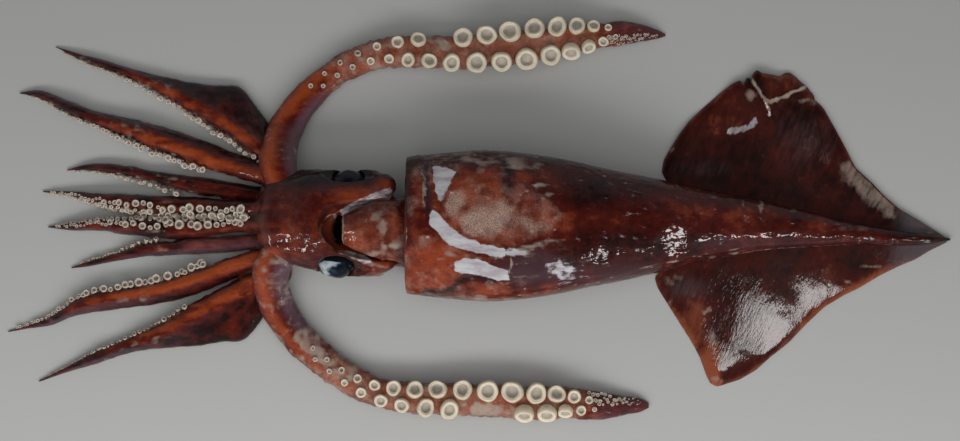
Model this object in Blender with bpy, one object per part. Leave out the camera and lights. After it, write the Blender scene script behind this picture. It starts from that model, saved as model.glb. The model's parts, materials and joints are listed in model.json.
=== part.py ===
"""A whole raw flying squid, belly up, laid out flat with its arms and feeding tentacles spread.

The frame has +X along the body towards the tail tip, +Y across it and +Z up from the
surface that it lies on. Lengths here are millimetres until a mesh is made.
"""

import math

import bmesh
import bpy
import numpy as np
from mathutils import Matrix, Vector
from mathutils.bvhtree import BVHTree

MM = 0.001
GAP = 0.35  # clear space kept between neighbouring pieces

# Driving dimensions
COLLAR_X = -40.0  # front rim of the mantle
TAIL_TIP_X = 258.5
RIM_WALL = 4.5
COLLAR_DEPTH = 17.0
NECK_END_X = -30.0
EYE_RADIUS = 10.0
FUNNEL_MOUTH_X = -73.0
FUNNEL_END_X = -31.0
FIN_ROOT_THICKNESS = 7.0
FIN_EDGE_THICKNESS = 1.6

# How finely the pieces are divided
MANTLE_RINGS, MANTLE_SIDES = 24, 24
HEAD_RINGS, HEAD_SIDES = 19, 20
FUNNEL_RINGS, FUNNEL_SIDES = 8, 16
ARM_RINGS, ARM_SIDES = 13, 10
TENTACLE_RINGS, TENTACLE_SIDES = 30, 10
FIN_RINGS = 22
CUP_SIDES, STUB_SIDES = 8, 5

# Mantle: x, centre y, half width, height
MANTLE = [
    (-40.0, -4.2, 37.0, 40.0),
    (-20.0, -4.4, 39.0, 44.0),
    (0.0, -4.5, 40.3, 46.5),
    (33.0, -4.6, 38.0, 46.0),
    (66.0, -4.5, 31.2, 41.0),
    (96.0, -4.4, 25.0, 35.0),
    (121.0, -3.8, 19.4, 29.0),
    (143.0, -3.6, 15.4, 24.0),
    (176.0, -5.2, 9.8, 17.0),
    (203.0, -7.8, 5.9, 11.5),
    (231.0, -10.4, 3.6, 7.5),
    (251.0, -10.8, 1.9, 4.5),
    (TAIL_TIP_X, -10.8, 0.7, 2.0),
]

# Head from the arm crown back to the neck: x, centre y, half width, height, z of its underside
HEAD = [
    (-121.0, 0.0, 14.0, 18.0, 0.0),
    (-116.0, 0.0, 20.5, 25.0, 0.0),
    (-107.0, -0.2, 24.5, 29.0, 0.0),
    (-97.0, -0.5, 26.5, 33.0, 0.0),
    (-88.0, -1.2, 27.6, 36.0, 0.0),
    (-77.0, -3.2, 29.0, 38.0, 0.0),
    (-69.0, -3.2, 28.4, 38.5, 0.0),
    (-60.0, -3.2, 28.6, 38.5, 0.0),
    (-52.5, -4.0, 26.5, 36.0, 0.6),
    (-47.5, -7.0, 19.8, 31.0, 3.5),
    (-41.0, -7.3, 19.4, 30.0, 5.4),
    (-35.0, -6.0, 24.5, 31.5, 6.5),
    (NECK_END_X, -5.0, 27.0, 32.0, 7.0),
]

# The funnel, a flattened cone in the groove of the head: x, centre y, half width, top z, half height
FUNNEL = [
    (FUNNEL_MOUTH_X, -7.2, 7.6, 35.5, 4.6),
    (-66.0, -7.4, 11.2, 38.2, 6.8),
    (-57.0, -7.6, 14.4, 39.2, 8.6),
    (-47.0, -7.6, 16.4, 37.5, 9.2),
    (FUNNEL_END_X, -7.4, 17.4, 33.4, 8.6),
]
# The groove that it lies in, cut into the head: x, centre y, half width, floor z
GROOVE = [
    (-88.5, -3.0, 3.0, 31.0),
    (-86.0, -3.6, 9.0, 28.5),
    (-80.0, -5.0, 13.2, 26.0),
    (-72.0, -6.4, 15.6, 23.5),
    (-60.0, -7.2, 17.6, 20.5),
    (-50.0, -7.4, 18.8, 18.0),
    (-20.0, -7.4, 19.4, 14.0),
]

# Eyes: x, y, z of the centre of each ball
EYES = {
    "eye_left": (-70.5, 17.6, 20.0),
    "eye_right": (-77.5, -24.6, 20.0),
}
# The open lids above the eyes, hollows scooped out of the head: centre, and half sizes
LIDS = {
    "eye_left": ((-70.0, 25.5, 31.0), (16.0, 8.0, 10.5)),
    "eye_right": ((-76.0, -31.5, 31.0), (15.0, 10.0, 13.0)),
}

# Arms from the tip to the root: x, y of the sucker edge, y of the far side of the muscle,
# y of the edge of the keel. Left is the animal's left, which is the +Y side as it lies here.
ARMS = {
    "arm_left_3": [
        (-235.4, 96.0, 96.3, 96.3),
        (-220.0, 88.3, 91.6, 91.6),
        (-203.5, 82.2, 86.6, 87.2),
        (-181.5, 72.3, 78.9, 81.1),
        (-162.0, 60.8, 70.5, 76.2),
        (-146.0, 50.3, 63.0, 74.0),
        (-132.0, 41.0, 54.7, 72.6),
        (-122.0, 33.8, 46.5, 61.0),
        (-113.0, 26.7, 39.0, 47.0),
        (-103.0, 18.0, 30.0, 32.0),
    ],
    "arm_left_2": [
        (-254.7, 70.1, 70.6, 70.7),
        (-245.0, 67.9, 71.2, 71.8),
        (-228.3, 59.1, 65.7, 66.3),
        (-209.0, 51.4, 58.6, 59.4),
        (-187.0, 41.5, 52.5, 54.7),
        (-165.0, 33.3, 45.4, 48.1),
        (-146.0, 26.7, 38.2, 41.5),
        (-129.0, 22.0, 32.0, 34.4),
        (-113.0, 17.5, 28.5, 29.5),
        (-103.0, 15.0, 26.0, 26.5),
    ],
    "arm_left_1": [
        (-227.7, 27.3, 27.8, 27.8),
        (-217.3, 27.6, 30.5, 30.5),
        (-203.5, 26.1, 30.8, 30.8),
        (-181.5, 21.2, 27.2, 27.8),
        (-159.5, 15.1, 23.4, 24.0),
        (-140.0, 11.4, 20.4, 21.2),
        (-124.0, 8.4, 18.0, 18.4),
        (-113.0, 7.0, 17.0, 17.2),
        (-103.0, 6.0, 16.0, 16.0),
    ],
    "arm_left_4": [
        (-240.9, 15.4, 16.0, 16.0),
        (-225.5, 12.9, 15.7, 15.7),
        (-209.0, 8.0, 14.9, 14.9),
        (-187.0, 4.1, 13.3, 13.6),
        (-165.0, 1.9, 12.5, 12.8),
        (-143.0, 1.4, 10.8, 11.0),
        (-127.0, 1.2, 9.4, 9.6),
        (-115.0, 1.0, 8.8, 8.8),
        (-103.0, 1.0, 9.0, 9.0),
    ],
    "arm_right_4": [
        (-237.6, -3.6, -4.2, -4.2),
        (-225.5, -1.9, -5.8, -5.8),
        (-209.0, 0.2, -6.4, -6.4),
        (-187.0, 0.5, -8.6, -9.0),
        (-165.0, 0.4, -10.4, -10.8),
        (-146.0, 0.2, -8.8, -9.0),
        (-129.0, 0.0, -7.4, -7.6),
        (-115.0, 0.0, -8.2, -8.2),
        (-103.0, 0.0, -8.4, -8.4),
    ],
    "arm_right_1": [
        (-224.4, -26.1, -26.7, -26.7),
        (-214.5, -22.8, -25.6, -25.6),
        (-200.8, -19.0, -22.8, -22.8),
        (-184.3, -13.5, -20.1, -20.4),
        (-165.0, -11.4, -19.2, -19.6),
        (-148.5, -9.6, -18.0, -18.4),
        (-132.0, -8.4, -17.0, -17.2),
        (-115.5, -7.4, -16.6, -16.6),
        (-103.0, -6.6, -16.0, -16.0),
    ],
    "arm_right_2": [
        (-258.5, -61.0, -61.6, -61.6),
        (-247.5, -58.0, -59.7, -59.7),
        (-233.8, -52.5, -56.9, -57.5),
        (-220.0, -43.7, -51.4, -52.5),
        (-209.0, -39.9, -48.7, -50.9),
        (-198.0, -38.4, -46.5, -49.2),
        (-181.5, -35.6, -43.6, -47.0),
        (-165.0, -31.2, -40.4, -43.7),
        (-148.5, -25.4, -34.6, -38.2),
        (-132.0, -19.5, -29.4, -31.6),
        (-115.5, -16.0, -26.6, -27.2),
        (-103.0, -14.0, -24.5, -25.0),
    ],
    "arm_right_3": [
        (-240.9, -87.9, -88.7, -88.8),
        (-228.3, -81.7, -84.4, -84.4),
        (-209.0, -71.8, -77.8, -78.9),
        (-192.5, -65.2, -71.6, -73.4),
        (-173.3, -55.8, -67.0, -70.7),
        (-154.0, -44.3, -58.6, -69.0),
        (-140.3, -37.1, -51.4, -66.8),
        (-129.0, -31.1, -45.4, -65.4),
        (-120.0, -26.1, -40.4, -56.0),
        (-113.0, -22.8, -35.5, -43.7),
        (-103.0, -18.0, -29.5, -31.0),
    ],
}
# What else each arm needs: thickness at its thickest, how far its root is lifted off the
# surface, the diameter of its largest suckers, and the angle round the arm of its sucker rows,
# where 180 degrees is the sucker edge and 90 is straight up.
ARM_BUILD = {
    "arm_left_3": (12.0, 0.0, 3.2, (152,)),
    "arm_left_2": (12.0, 3.0, 4.2, (152,)),
    "arm_left_1": (8.5, 0.0, 2.8, (156,)),
    "arm_left_4": (8.0, 15.0, 4.4, (98, 152)),
    "arm_right_4": (8.0, 15.0, 4.4, (98, 152)),
    "arm_right_1": (8.5, 0.0, 2.8, (150,)),
    "arm_right_2": (11.0, 3.0, 5.2, (140,)),
    "arm_right_3": (12.0, 0.0, 3.4, (150,)),
}

# Tentacles from the root to the tip: x, y, width
TENTACLES = {
    "tentacle_left": [
        (-100.0, 12.0, 16.0),
        (-106.5, 20.0, 18.5),
        (-109.5, 30.5, 20.5),
        (-108.4, 44.3, 20.0),
        (-101.2, 59.7, 18.0),
        (-89.7, 72.9, 16.0),
        (-74.3, 84.4, 15.5),
        (-55.0, 91.4, 16.5),
        (-33.0, 92.8, 17.0),
        (-8.3, 92.6, 18.5),
        (11.0, 94.2, 19.0),
        (33.0, 97.2, 17.5),
        (55.0, 100.3, 14.5),
        (71.5, 102.6, 13.5),
        (80.0, 103.7, 12.8),
        (88.0, 104.0, 10.5),
        (95.5, 103.4, 7.0),
        (99.5, 103.0, 4.5),
        (103.0, 102.7, 1.6),
    ],
    "tentacle_right": [
        (-99.0, -12.0, 16.0),
        (-107.0, -18.5, 18.5),
        (-112.8, -28.0, 20.0),
        (-112.2, -42.0, 19.5),
        (-105.6, -55.8, 18.5),
        (-95.7, -67.9, 18.0),
        (-84.2, -77.8, 17.0),
        (-71.5, -87.0, 16.5),
        (-57.8, -93.4, 16.0),
        (-38.5, -97.0, 16.5),
        (-16.5, -97.8, 17.0),
        (5.5, -99.0, 17.5),
        (27.5, -99.9, 17.5),
        (49.5, -100.0, 16.5),
        (66.0, -101.5, 14.5),
        (80.0, -101.5, 10.0),
        (88.0, -101.5, 7.0),
        (92.0, -101.5, 3.0),
    ],
}
# Suckers of a tentacle, by the distance back from its tip: radius, and step to the next sucker
CLUB_RADIUS = [
    (36, 3.0),
    (44, 4.2),
    (56, 5.6),
    (80, 6.3),
    (97, 5.9),
    (112, 5.4),
    (140, 4.2),
    (152, 3.1),
    (165, 2.2),
    (180, 1.6),
]
CLUB_STEP = [(36, 3.8), (50, 4.8), (63, 5.8), (75, 6.8), (110, 6.7), (130, 6.2), (145, 5.5), (165, 5.4)]
# For each tentacle: distance from the tip of its first sucker, spread of the two rows in sucker
# diameters, and which suckers have been torn off
CLUB_BUILD = {
    "tentacle_left": (175.7, 0.60, (9,)),
    "tentacle_right": (155.9, 0.42, (10, 12)),
}
ROOT_LIFT = 13.0  # how far the tentacles stand off the surface where they leave the head
ROOT_LIFT_RUN = 50.0
CLUB_SMALLEST = 1.6  # radius of the smallest sucker that is made here
ARM_SUCKER_STEP = 7.4
# The arms in the order in which they are cut back to clear each other: the ones nearest the
# middle line first
LIMB_ORDER = [f"arm_{side}_{number}" for number in (4, 1, 2, 3) for side in ("left", "right")]
TENTACLE_FLATNESS = 0.58  # thickness over width

# Fin outlines from the front of the root round the lobe to the tail tip: x, y
FINS = {
    "fin_left": [
        (118.0, 12.0),
        (107.0, 19.0),
        (101.0, 26.0),
        (104.5, 39.3),
        (115.5, 55.3),
        (131.0, 69.5),
        (143.0, 77.3),
        (155.0, 81.8),
        (169.0, 81.5),
        (179.0, 74.0),
        (186.0, 65.5),
        (196.0, 50.5),
        (206.5, 31.0),
        (222.8, 13.8),
        (242.0, -0.8),
        (TAIL_TIP_X - 2.0, -10.2),
    ],
    "fin_right": [
        (108.0, -16.0),
        (99.0, -24.0),
        (97.5, -34.0),
        (103.4, -45.6),
        (116.6, -66.3),
        (124.9, -84.0),
        (130.6, -91.2),
        (143.0, -87.6),
        (159.5, -75.6),
        (178.8, -58.0),
        (200.8, -41.2),
        (220.0, -30.5),
        (239.3, -21.2),
        (TAIL_TIP_X - 2.0, -11.4),
    ],
}
FIN_ROOT = {"fin_left": ((124.0, 0.0), (254.0, -10.4)), "fin_right": ((112.0, -8.0), (254.0, -11.2))}


def smooth(stations, at):
    """Values of a smooth curve through the stations, whose first column is the place along it."""
    knots = np.asarray(stations, float)
    place, value = knots[:, 0], knots[:, 1:]
    at = np.clip(np.atleast_1d(np.asarray(at, float)), place[0], place[-1])
    slope = np.gradient(value, place, axis=0)
    i = np.clip(np.searchsorted(place, at, side="right") - 1, 0, len(place) - 2)
    span = (place[i + 1] - place[i])[:, None]
    t = (at - place[i])[:, None] / span
    return (
        (2 * t**3 - 3 * t**2 + 1) * value[i]
        + (t**3 - 2 * t**2 + t) * span * slope[i]
        + (3 * t**2 - 2 * t**3) * value[i + 1]
        + (t**3 - t**2) * span * slope[i + 1]
    )


def along(points):
    """The points of a route with the distance from its start put in front."""
    points = np.asarray(points, float)
    steps = np.hypot(*np.diff(points[:, :2], axis=0).T)
    return np.column_stack([np.concatenate([[0.0], np.cumsum(steps)]), points])


def eased(x, low, high):
    """0 below low, 1 above high, and a smooth rise between them."""
    t = np.clip((np.asarray(x, float) - low) / (high - low), 0, 1)
    return t * t * (3 - 2 * t)


def mesh_object(name, mesh):
    piece = bpy.data.objects.new(name, mesh)
    bpy.context.scene.collection.objects.link(piece)
    return piece


def loft(name, rings):
    """A closed solid over rings of points, with a fan of faces over each end."""
    count = len(rings[0])
    points = [tuple(p * MM for p in point) for ring in rings for point in ring]
    faces = []
    for r in range(len(rings) - 1):
        a, b = r * count, (r + 1) * count
        for k in range(count):
            n = (k + 1) % count
            faces.append((a + k, a + n, b + n, b + k))
    for ring, base in ((rings[0], 0), (rings[-1], (len(rings) - 1) * count)):
        points.append(tuple(np.mean(ring, axis=0) * MM))
        hub = len(points) - 1
        for k in range(count):
            n = (k + 1) % count
            faces.append((hub, base + n, base + k) if base == 0 else (hub, base + k, base + n))
    mesh = bpy.data.meshes.new(name)
    mesh.from_pydata(points, [], faces)
    bm = bmesh.new()
    bm.from_mesh(mesh)
    bmesh.ops.remove_doubles(bm, verts=bm.verts, dist=1e-5)
    bmesh.ops.recalc_face_normals(bm, faces=bm.faces)
    bm.to_mesh(mesh)
    bm.free()
    mesh.shade_smooth()
    return mesh_object(name, mesh)


def apply_boolean(piece, others, operation):
    """Joins the others to the piece, or cuts them from it, then removes them."""
    tools = bpy.data.collections.new("tools")
    for other in others:
        for home in list(other.users_collection):
            home.objects.unlink(other)
        tools.objects.link(other)
    bpy.context.scene.collection.children.link(tools)
    modifier = piece.modifiers.new("join", "BOOLEAN")
    modifier.operation = operation
    modifier.operand_type = "COLLECTION"
    modifier.collection = tools
    modifier.solver = "MANIFOLD"
    bpy.context.view_layer.update()
    graph = bpy.context.evaluated_depsgraph_get()
    made = bpy.data.meshes.new_from_object(piece.evaluated_get(graph))
    piece.modifiers.clear()
    piece.data = made
    for other in others:
        bpy.data.objects.remove(other)
    bpy.data.collections.remove(tools)
    keep_largest_body(piece)


def keep_largest_body(piece):
    """Drops the loose scraps that a cut can leave."""
    bm = bmesh.new()
    bm.from_mesh(piece.data)
    left = set(bm.verts)
    bodies = []
    while left:
        start = left.pop()
        body, edge = {start}, [start]
        while edge:
            for link in edge.pop().link_edges:
                for vert in link.verts:
                    if vert in left:
                        left.discard(vert)
                        body.add(vert)
                        edge.append(vert)
        bodies.append(body)
    largest = max(bodies, key=len)
    scraps = [v for body in bodies if body is not largest for v in body]
    bmesh.ops.delete(bm, geom=scraps, context="VERTS")
    bm.to_mesh(piece.data)
    bm.free()


def body_ring(x, centre, half_width, height, floor=0.0, sides=MANTLE_SIDES, grow=0.0):
    """A cross-section of the mantle or the head: a soft oval, flat where it rests."""
    floor = max(floor, 0.0)
    widest = floor + (height - floor) * 0.46
    ring = []
    for k in range(sides):
        angle = math.tau * k / sides
        c, s = math.cos(angle), math.sin(angle)
        reach = height - widest if s > 0 else 1.12 * (widest - floor)
        y = centre + (half_width + grow) * math.copysign(abs(c) ** 0.9, c)
        z = widest + (reach + grow) * math.copysign(abs(s) ** 0.9, s)
        ring.append((x, y, max(z, floor - grow)))
    return ring


def mantle_rings(count, sides, grow=0.0, start=COLLAR_X):
    """Rings of the mantle, closer together at the collar and the tail."""
    places = start + (TAIL_TIP_X - start) * np.linspace(0, 1, count) ** 0.95
    return [
        body_ring(x, *values, sides=sides, grow=grow)
        for x, values in zip(places, smooth(MANTLE, places))
    ]


def make_mantle():
    mantle = loft("mantle", mantle_rings(MANTLE_RINGS, MANTLE_SIDES))
    mouth = [
        body_ring(x, centre, half_width - wall, height - wall, floor=RIM_WALL)
        for x, centre, half_width, height, wall in (
            (COLLAR_X - 2, -4.0, 37.6, 40.0, RIM_WALL - 1.5),
            (COLLAR_X + 2, -4.0, 37.9, 40.5, RIM_WALL),
            (COLLAR_X + 0.6 * COLLAR_DEPTH, -4.2, 39.0, 42.5, RIM_WALL + 2),
            (COLLAR_X + COLLAR_DEPTH, -4.2, 39.0, 42.5, RIM_WALL + 12),
        )
    ]
    apply_boolean(mantle, [loft("mouth", mouth)], "DIFFERENCE")
    return mantle


def head_rings(count, sides, grow=0.0):
    places = np.linspace(HEAD[0][0], HEAD[-1][0], count)
    return [
        body_ring(x, *values, sides=sides, grow=grow)
        for x, values in zip(places, smooth(HEAD, places))
    ]


def groove_cutter():
    """The open groove on the underside of the head, which the funnel lies in."""
    places = np.linspace(GROOVE[0][0], GROOVE[-1][0], 12)
    rings = []
    for x, (centre, half_width, floor) in zip(places, smooth(GROOVE, places)):
        ring = []
        for k in range(14):
            angle = math.tau * k / 14
            c, s = math.cos(angle), math.sin(angle)
            top = 46.0
            z = top if s > 0.2 else floor + (top - floor) * (1 + min(s, 0.0)) * 0.55
            spread = 1.0 if s > 0.2 else 1.0 - 0.08 * (1 + s)
            ring.append((x, centre + half_width * c * spread, z + 1.5 * max(s, 0)))
        rings.append(ring)
    return loft("groove", rings)


def make_ball(name, centre, radius, segments=14, rings=8, scale=(1.0, 0.8, 1.0)):
    bm = bmesh.new()
    bmesh.ops.create_uvsphere(bm, u_segments=segments, v_segments=rings, radius=radius * MM)
    place = Matrix.Translation(Vector(centre) * MM) @ Matrix.Diagonal((*scale, 1.0))
    turn = Matrix.Rotation(math.radians(90), 4, "X")
    bmesh.ops.transform(bm, matrix=place @ turn, verts=bm.verts)
    mesh = bpy.data.meshes.new(name)
    bm.to_mesh(mesh)
    bm.free()
    mesh.shade_smooth()
    return mesh_object(name, mesh)


def make_head():
    head = loft("head", head_rings(HEAD_RINGS, HEAD_SIDES))
    cuts = [groove_cutter()]
    for centre in EYES.values():
        cuts.append(make_ball("socket", centre, EYE_RADIUS + GAP))
    for centre, half_sizes in LIDS.values():
        cuts.append(make_ball("lid", centre, 1.0, 10, 6, half_sizes))
    apply_boolean(head, cuts, "DIFFERENCE")
    return head


def funnel_rings(count, sides, grow=0.0):
    places = np.linspace(FUNNEL_MOUTH_X, FUNNEL_END_X, count)
    rings = []
    for x, (centre, half_width, top, half_height) in zip(places, smooth(FUNNEL, places)):
        ring = []
        for k in range(sides):
            angle = math.tau * k / sides
            ring.append(
                (
                    x,
                    centre + (half_width + grow) * math.cos(angle),
                    top - half_height + (half_height + grow) * math.sin(angle),
                )
            )
        rings.append(ring)
    return rings


def make_funnel():
    """A tube with an open mouth, which runs back under the collar."""
    funnel = loft("funnel", funnel_rings(FUNNEL_RINGS, FUNNEL_SIDES))
    bore = []
    for x, share in ((FUNNEL_MOUTH_X - 2, 0.72), (FUNNEL_MOUTH_X + 4, 0.62), (FUNNEL_MOUTH_X + 11, 0.4)):
        centre, half_width, top, half_height = smooth(FUNNEL, [x])[0]
        bore.append(
            [
                (
                    x,
                    centre + half_width * share * math.cos(math.tau * k / 12),
                    top - half_height + half_height * share * math.sin(math.tau * k / 12),
                )
                for k in range(12)
            ]
        )
    apply_boolean(funnel, [loft("bore", bore)], "DIFFERENCE")
    return funnel


def make_fin(name):
    """A thin muscular sheet: flat below, swelling to the root above, with a rolled edge."""
    outline = along(FINS[name])
    share = np.linspace(0, 1, FIN_RINGS)
    edge = smooth(outline, share * outline[-1, 0])
    root_from, root_to = (np.array(p) for p in FIN_ROOT[name])
    across = np.array([0.0, 0.33, 0.64, 0.88, 1.0])
    rings = []
    for t, end in zip(share, edge):
        start = root_from + (root_to - root_from) * t
        top, under = [], []
        for v in across:
            x, y = start + (end - start) * v
            thick = FIN_EDGE_THICKNESS + (FIN_ROOT_THICKNESS - FIN_EDGE_THICKNESS) * (1 - v) ** 1.3
            thick *= 0.35 + 0.65 * math.sin(math.pi * min(max(t, 0.04), 0.97)) ** 0.5
            wave = 1.6 * v * v * (1 + math.sin(0.11 * x + 0.05 * y)) * math.sin(math.pi * t)
            top.append((x, y, wave + thick))
            under.append((x, y, wave))
        rings.append(top + under[::-1])
    return loft(name, rings)


def arm_ring(name, x, sides, grow=0.0):
    """A cross-section of an arm: a flattened core, with a thin keel on the side away from the suckers."""
    sucker_edge, core_edge, keel_edge = smooth(ARMS[name], [x])[0]
    thickness, lift, _, _ = ARM_BUILD[name]
    tip, root = ARMS[name][0][0], ARMS[name][-1][0]
    half_width = abs(core_edge - sucker_edge) / 2
    half_height = min(thickness, 1.7 * half_width + 0.6) / 2
    raised = lift * eased(x, tip + 0.55 * (root - tip), root)
    centre = (core_edge + sucker_edge) / 2
    side = math.copysign(1.0, core_edge - sucker_edge)
    ring = []
    for k in range(sides):
        angle = math.tau * k / sides
        c, s = math.cos(angle), math.sin(angle)
        keel = abs(keel_edge - core_edge) * max(c, 0.0) ** 7
        droop = (half_height - 1.4) * max(c, 0.0) ** 7 * (1 if keel_edge != core_edge else 0)
        y = centre + side * ((half_width + grow) * c + keel)
        z = half_height * 0.94 + raised + (half_height + grow) * s - max(droop, 0.0) * 0.6
        ring.append((x, y, max(z, -grow)))
    return ring


def arm_places(name, count):
    tip, root = ARMS[name][0][0], ARMS[name][-1][0]
    return tip + (root - tip) * np.linspace(0, 1, count) ** 1.1


def make_arm(name, grow=0.0):
    return loft(name, [arm_ring(name, x, ARM_SIDES, grow) for x in arm_places(name, ARM_RINGS)])


def tentacle_frame(name, place):
    """Where a tentacle is at a distance from its root: its centre, directions and half sizes."""
    route = along(TENTACLES[name])
    before, here, after = smooth(route, [place - 0.5, place, place + 0.5])
    forward = np.array([after[0] - before[0], after[1] - before[1]])
    forward = forward / np.hypot(*forward)
    left = np.array([-forward[1], forward[0]])
    half_width = here[2] / 2
    lift = ROOT_LIFT * (1 - eased(place, 8.0, ROOT_LIFT_RUN))
    return here[:2], left, half_width, half_width * TENTACLE_FLATNESS, lift


def tentacle_ring(name, place, sides, grow=0.0):
    centre, left, half_width, half_height, lift = tentacle_frame(name, place)
    ring = []
    for k in range(sides):
        angle = math.tau * k / sides
        c, s = math.cos(angle), math.sin(angle)
        x, y = centre + left * (half_width + grow) * math.copysign(abs(c) ** 0.9, c)
        z = half_height * 0.94 + lift + (half_height + grow) * s
        ring.append((x, y, max(z, -grow)))
    return ring


def make_tentacle(name, grow=0.0):
    length = along(TENTACLES[name])[-1, 0]
    places = np.linspace(0, length, TENTACLE_RINGS)
    return loft(name, [tentacle_ring(name, place, TENTACLE_SIDES, grow) for place in places])


def make_sucker(centre, direction, radius, sides):
    """A cup on a short stalk. A large one is hollow, with a rim; a small one is a plain stub."""
    height = radius * (1.35 if sides == CUP_SIDES else 2.3)
    bm = bmesh.new()
    bmesh.ops.create_cone(
        bm,
        cap_ends=True,
        segments=sides,
        radius1=radius * 0.72 * MM,
        radius2=radius * MM,
        depth=height * MM,
    )
    bmesh.ops.translate(bm, vec=(0, 0, height * 0.5 * MM), verts=bm.verts)
    if sides == CUP_SIDES:
        mouth = max(bm.faces, key=lambda f: f.calc_center_median().z)
        bmesh.ops.inset_individual(bm, faces=[mouth], thickness=radius * 0.3 * MM)
        bmesh.ops.inset_individual(bm, faces=[mouth], thickness=radius * 0.1 * MM)
        bmesh.ops.translate(bm, vec=(0, 0, -radius * 0.55 * MM), verts=mouth.verts)
    turn = Vector((0, 0, 1)).rotation_difference(Vector(direction)).to_matrix().to_4x4()
    bmesh.ops.transform(bm, matrix=Matrix.Translation(Vector(centre) * MM) @ turn, verts=bm.verts)
    below = min(0.0, min(vert.co.z for vert in bm.verts))
    bmesh.ops.translate(bm, vec=(0, 0, -below), verts=bm.verts)
    mesh = bpy.data.meshes.new("sucker")
    bm.to_mesh(mesh)
    bm.free()
    return mesh_object("sucker", mesh)


def club_suckers(name):
    """Two staggered rows of suckers, largest in the middle of the club, by the distance from the tip."""
    length = along(TENTACLES[name])[-1, 0]
    from_tip, spread, torn_off = CLUB_BUILD[name]
    suckers = []
    for number in range(60):
        if from_tip < CLUB_RADIUS[0][0]:
            break
        radius = np.interp(from_tip, *zip(*CLUB_RADIUS))
        centre, left, half_width, half_height, lift = tentacle_frame(name, length - from_tip)
        row = 1 if number % 2 else -1
        across = row * min(spread * 2 * radius, half_width * 0.9)
        x, y = centre + left * across
        drop = half_height * (1 - math.sqrt(max(0.0, 1 - (across / half_width) ** 2)))
        z = half_height * 1.94 + lift - drop - 0.35 * radius
        tilt = Vector((*(left * row * 0.28), 1.0)).normalized()
        if number not in torn_off and radius > CLUB_SMALLEST:
            suckers.append(((x, y, z), tilt, radius, CUP_SIDES if radius > 2.6 else STUB_SIDES))
        from_tip -= np.interp(from_tip, *zip(*CLUB_STEP))
    return suckers


def arm_suckers(name):
    """Rows of small suckers along the inner edge of an arm."""
    _, _, largest, rows = ARM_BUILD[name]
    tip, root = ARMS[name][0][0], ARMS[name][-1][0]
    suckers = []
    for row, degrees in enumerate(rows):
        x = tip + 26.0 + 2.0 * row
        while x < root - 24.0:
            share = (x - tip) / (root - tip)
            radius = 0.5 * largest * min(1.0, 0.4 + 1.1 * share)
            ring = np.array(arm_ring(name, x, 36))
            centre = ring.mean(axis=0)
            spot = ring[degrees // 10]
            out = Vector((0.0, *(spot - centre)[1:])).normalized()
            seat = Vector(spot) - out * radius * 0.5
            suckers.append((tuple(seat), out, radius, STUB_SIDES))
            x += ARM_SUCKER_STEP
    return suckers


def surface_tree(piece):
    """A search tree of the piece's faces, thickened by the gap."""
    bm = bmesh.new()
    bm.from_mesh(piece.data)
    tree = BVHTree.FromBMesh(bm, epsilon=GAP * MM)
    bm.free()
    return tree


def fuse_suckers(pieces, name, suckers):
    """Joins to a limb those of its suckers that stay clear of the other pieces."""
    neighbours = [surface_tree(piece) for other, piece in pieces.items() if other != name]
    fitting = []
    for sucker in [make_sucker(*values) for values in suckers]:
        tree = surface_tree(sucker)
        if any(tree.overlap(neighbour) for neighbour in neighbours):
            bpy.data.objects.remove(sucker)
        else:
            fitting.append(sucker)
    apply_boolean(pieces[name], fitting, "UNION")


def make_material(name, colour, roughness):
    made = bpy.data.materials.new(name)
    made.use_nodes = True
    shader = made.node_tree.nodes["Principled BSDF"]
    shader.inputs["Base Color"].default_value = (*colour, 1.0)
    shader.inputs["Roughness"].default_value = roughness
    shader.inputs["Metallic"].default_value = 0.0
    return made


def main():
    for old in list(bpy.data.objects):
        bpy.data.objects.remove(old, do_unlink=True)

    # The body: mantle, head and funnel, with the eyes and the fins fitted to them
    pieces = {"mantle": make_mantle(), "head": make_head(), "funnel": make_funnel()}
    funnel_room = loft("funnel_room", funnel_rings(FUNNEL_RINGS, FUNNEL_SIDES, GAP))
    apply_boolean(pieces["head"], [funnel_room], "DIFFERENCE")
    for name, centre in EYES.items():
        pieces[name] = make_ball(name, centre, EYE_RADIUS)
    for name in FINS:
        pieces[name] = make_fin(name)
        mantle_room = loft("mantle_room", mantle_rings(MANTLE_RINGS, MANTLE_SIDES, GAP))
        apply_boolean(pieces[name], [mantle_room], "DIFFERENCE")

    # Each limb is cut back to stay clear of the head and of the limbs made before it
    done = []
    for name in [*TENTACLES, *LIMB_ORDER]:
        make = make_tentacle if name in TENTACLES else make_arm
        pieces[name] = make(name)
        rooms = [loft("head_room", head_rings(HEAD_RINGS, HEAD_SIDES, GAP))]
        rooms += [make_earlier(earlier, GAP) for make_earlier, earlier in done]
        for room in rooms:
            apply_boolean(pieces[name], [room], "DIFFERENCE")
        done.append((make, name))
    for name in TENTACLES:
        fuse_suckers(pieces, name, club_suckers(name))
    for name in ARMS:
        fuse_suckers(pieces, name, arm_suckers(name))

    materials = {
        "mantle": make_material("mantle_skin", (0.25, 0.05, 0.03), 0.25),
        "head": make_material("head_skin", (0.30, 0.06, 0.025), 0.2),
        "funnel": make_material("funnel_skin", (0.36, 0.10, 0.06), 0.2),
        "fin": make_material("fin_skin", (0.12, 0.03, 0.025), 0.25),
        "eye": make_material("eye_silver", (0.30, 0.36, 0.40), 0.15),
        "arm": make_material("arm_skin", (0.38, 0.09, 0.03), 0.25),
        "tentacle": make_material("tentacle_skin", (0.36, 0.10, 0.05), 0.25),
    }
    squid = bpy.data.collections.new("squid")
    bpy.context.scene.collection.children.link(squid)
    for name, piece in pieces.items():
        piece.data.materials.clear()
        piece.data.materials.append(materials[name.split("_")[0]])
        for home in list(piece.users_collection):
            home.objects.unlink(piece)
        squid.objects.link(piece)


main()
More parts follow.
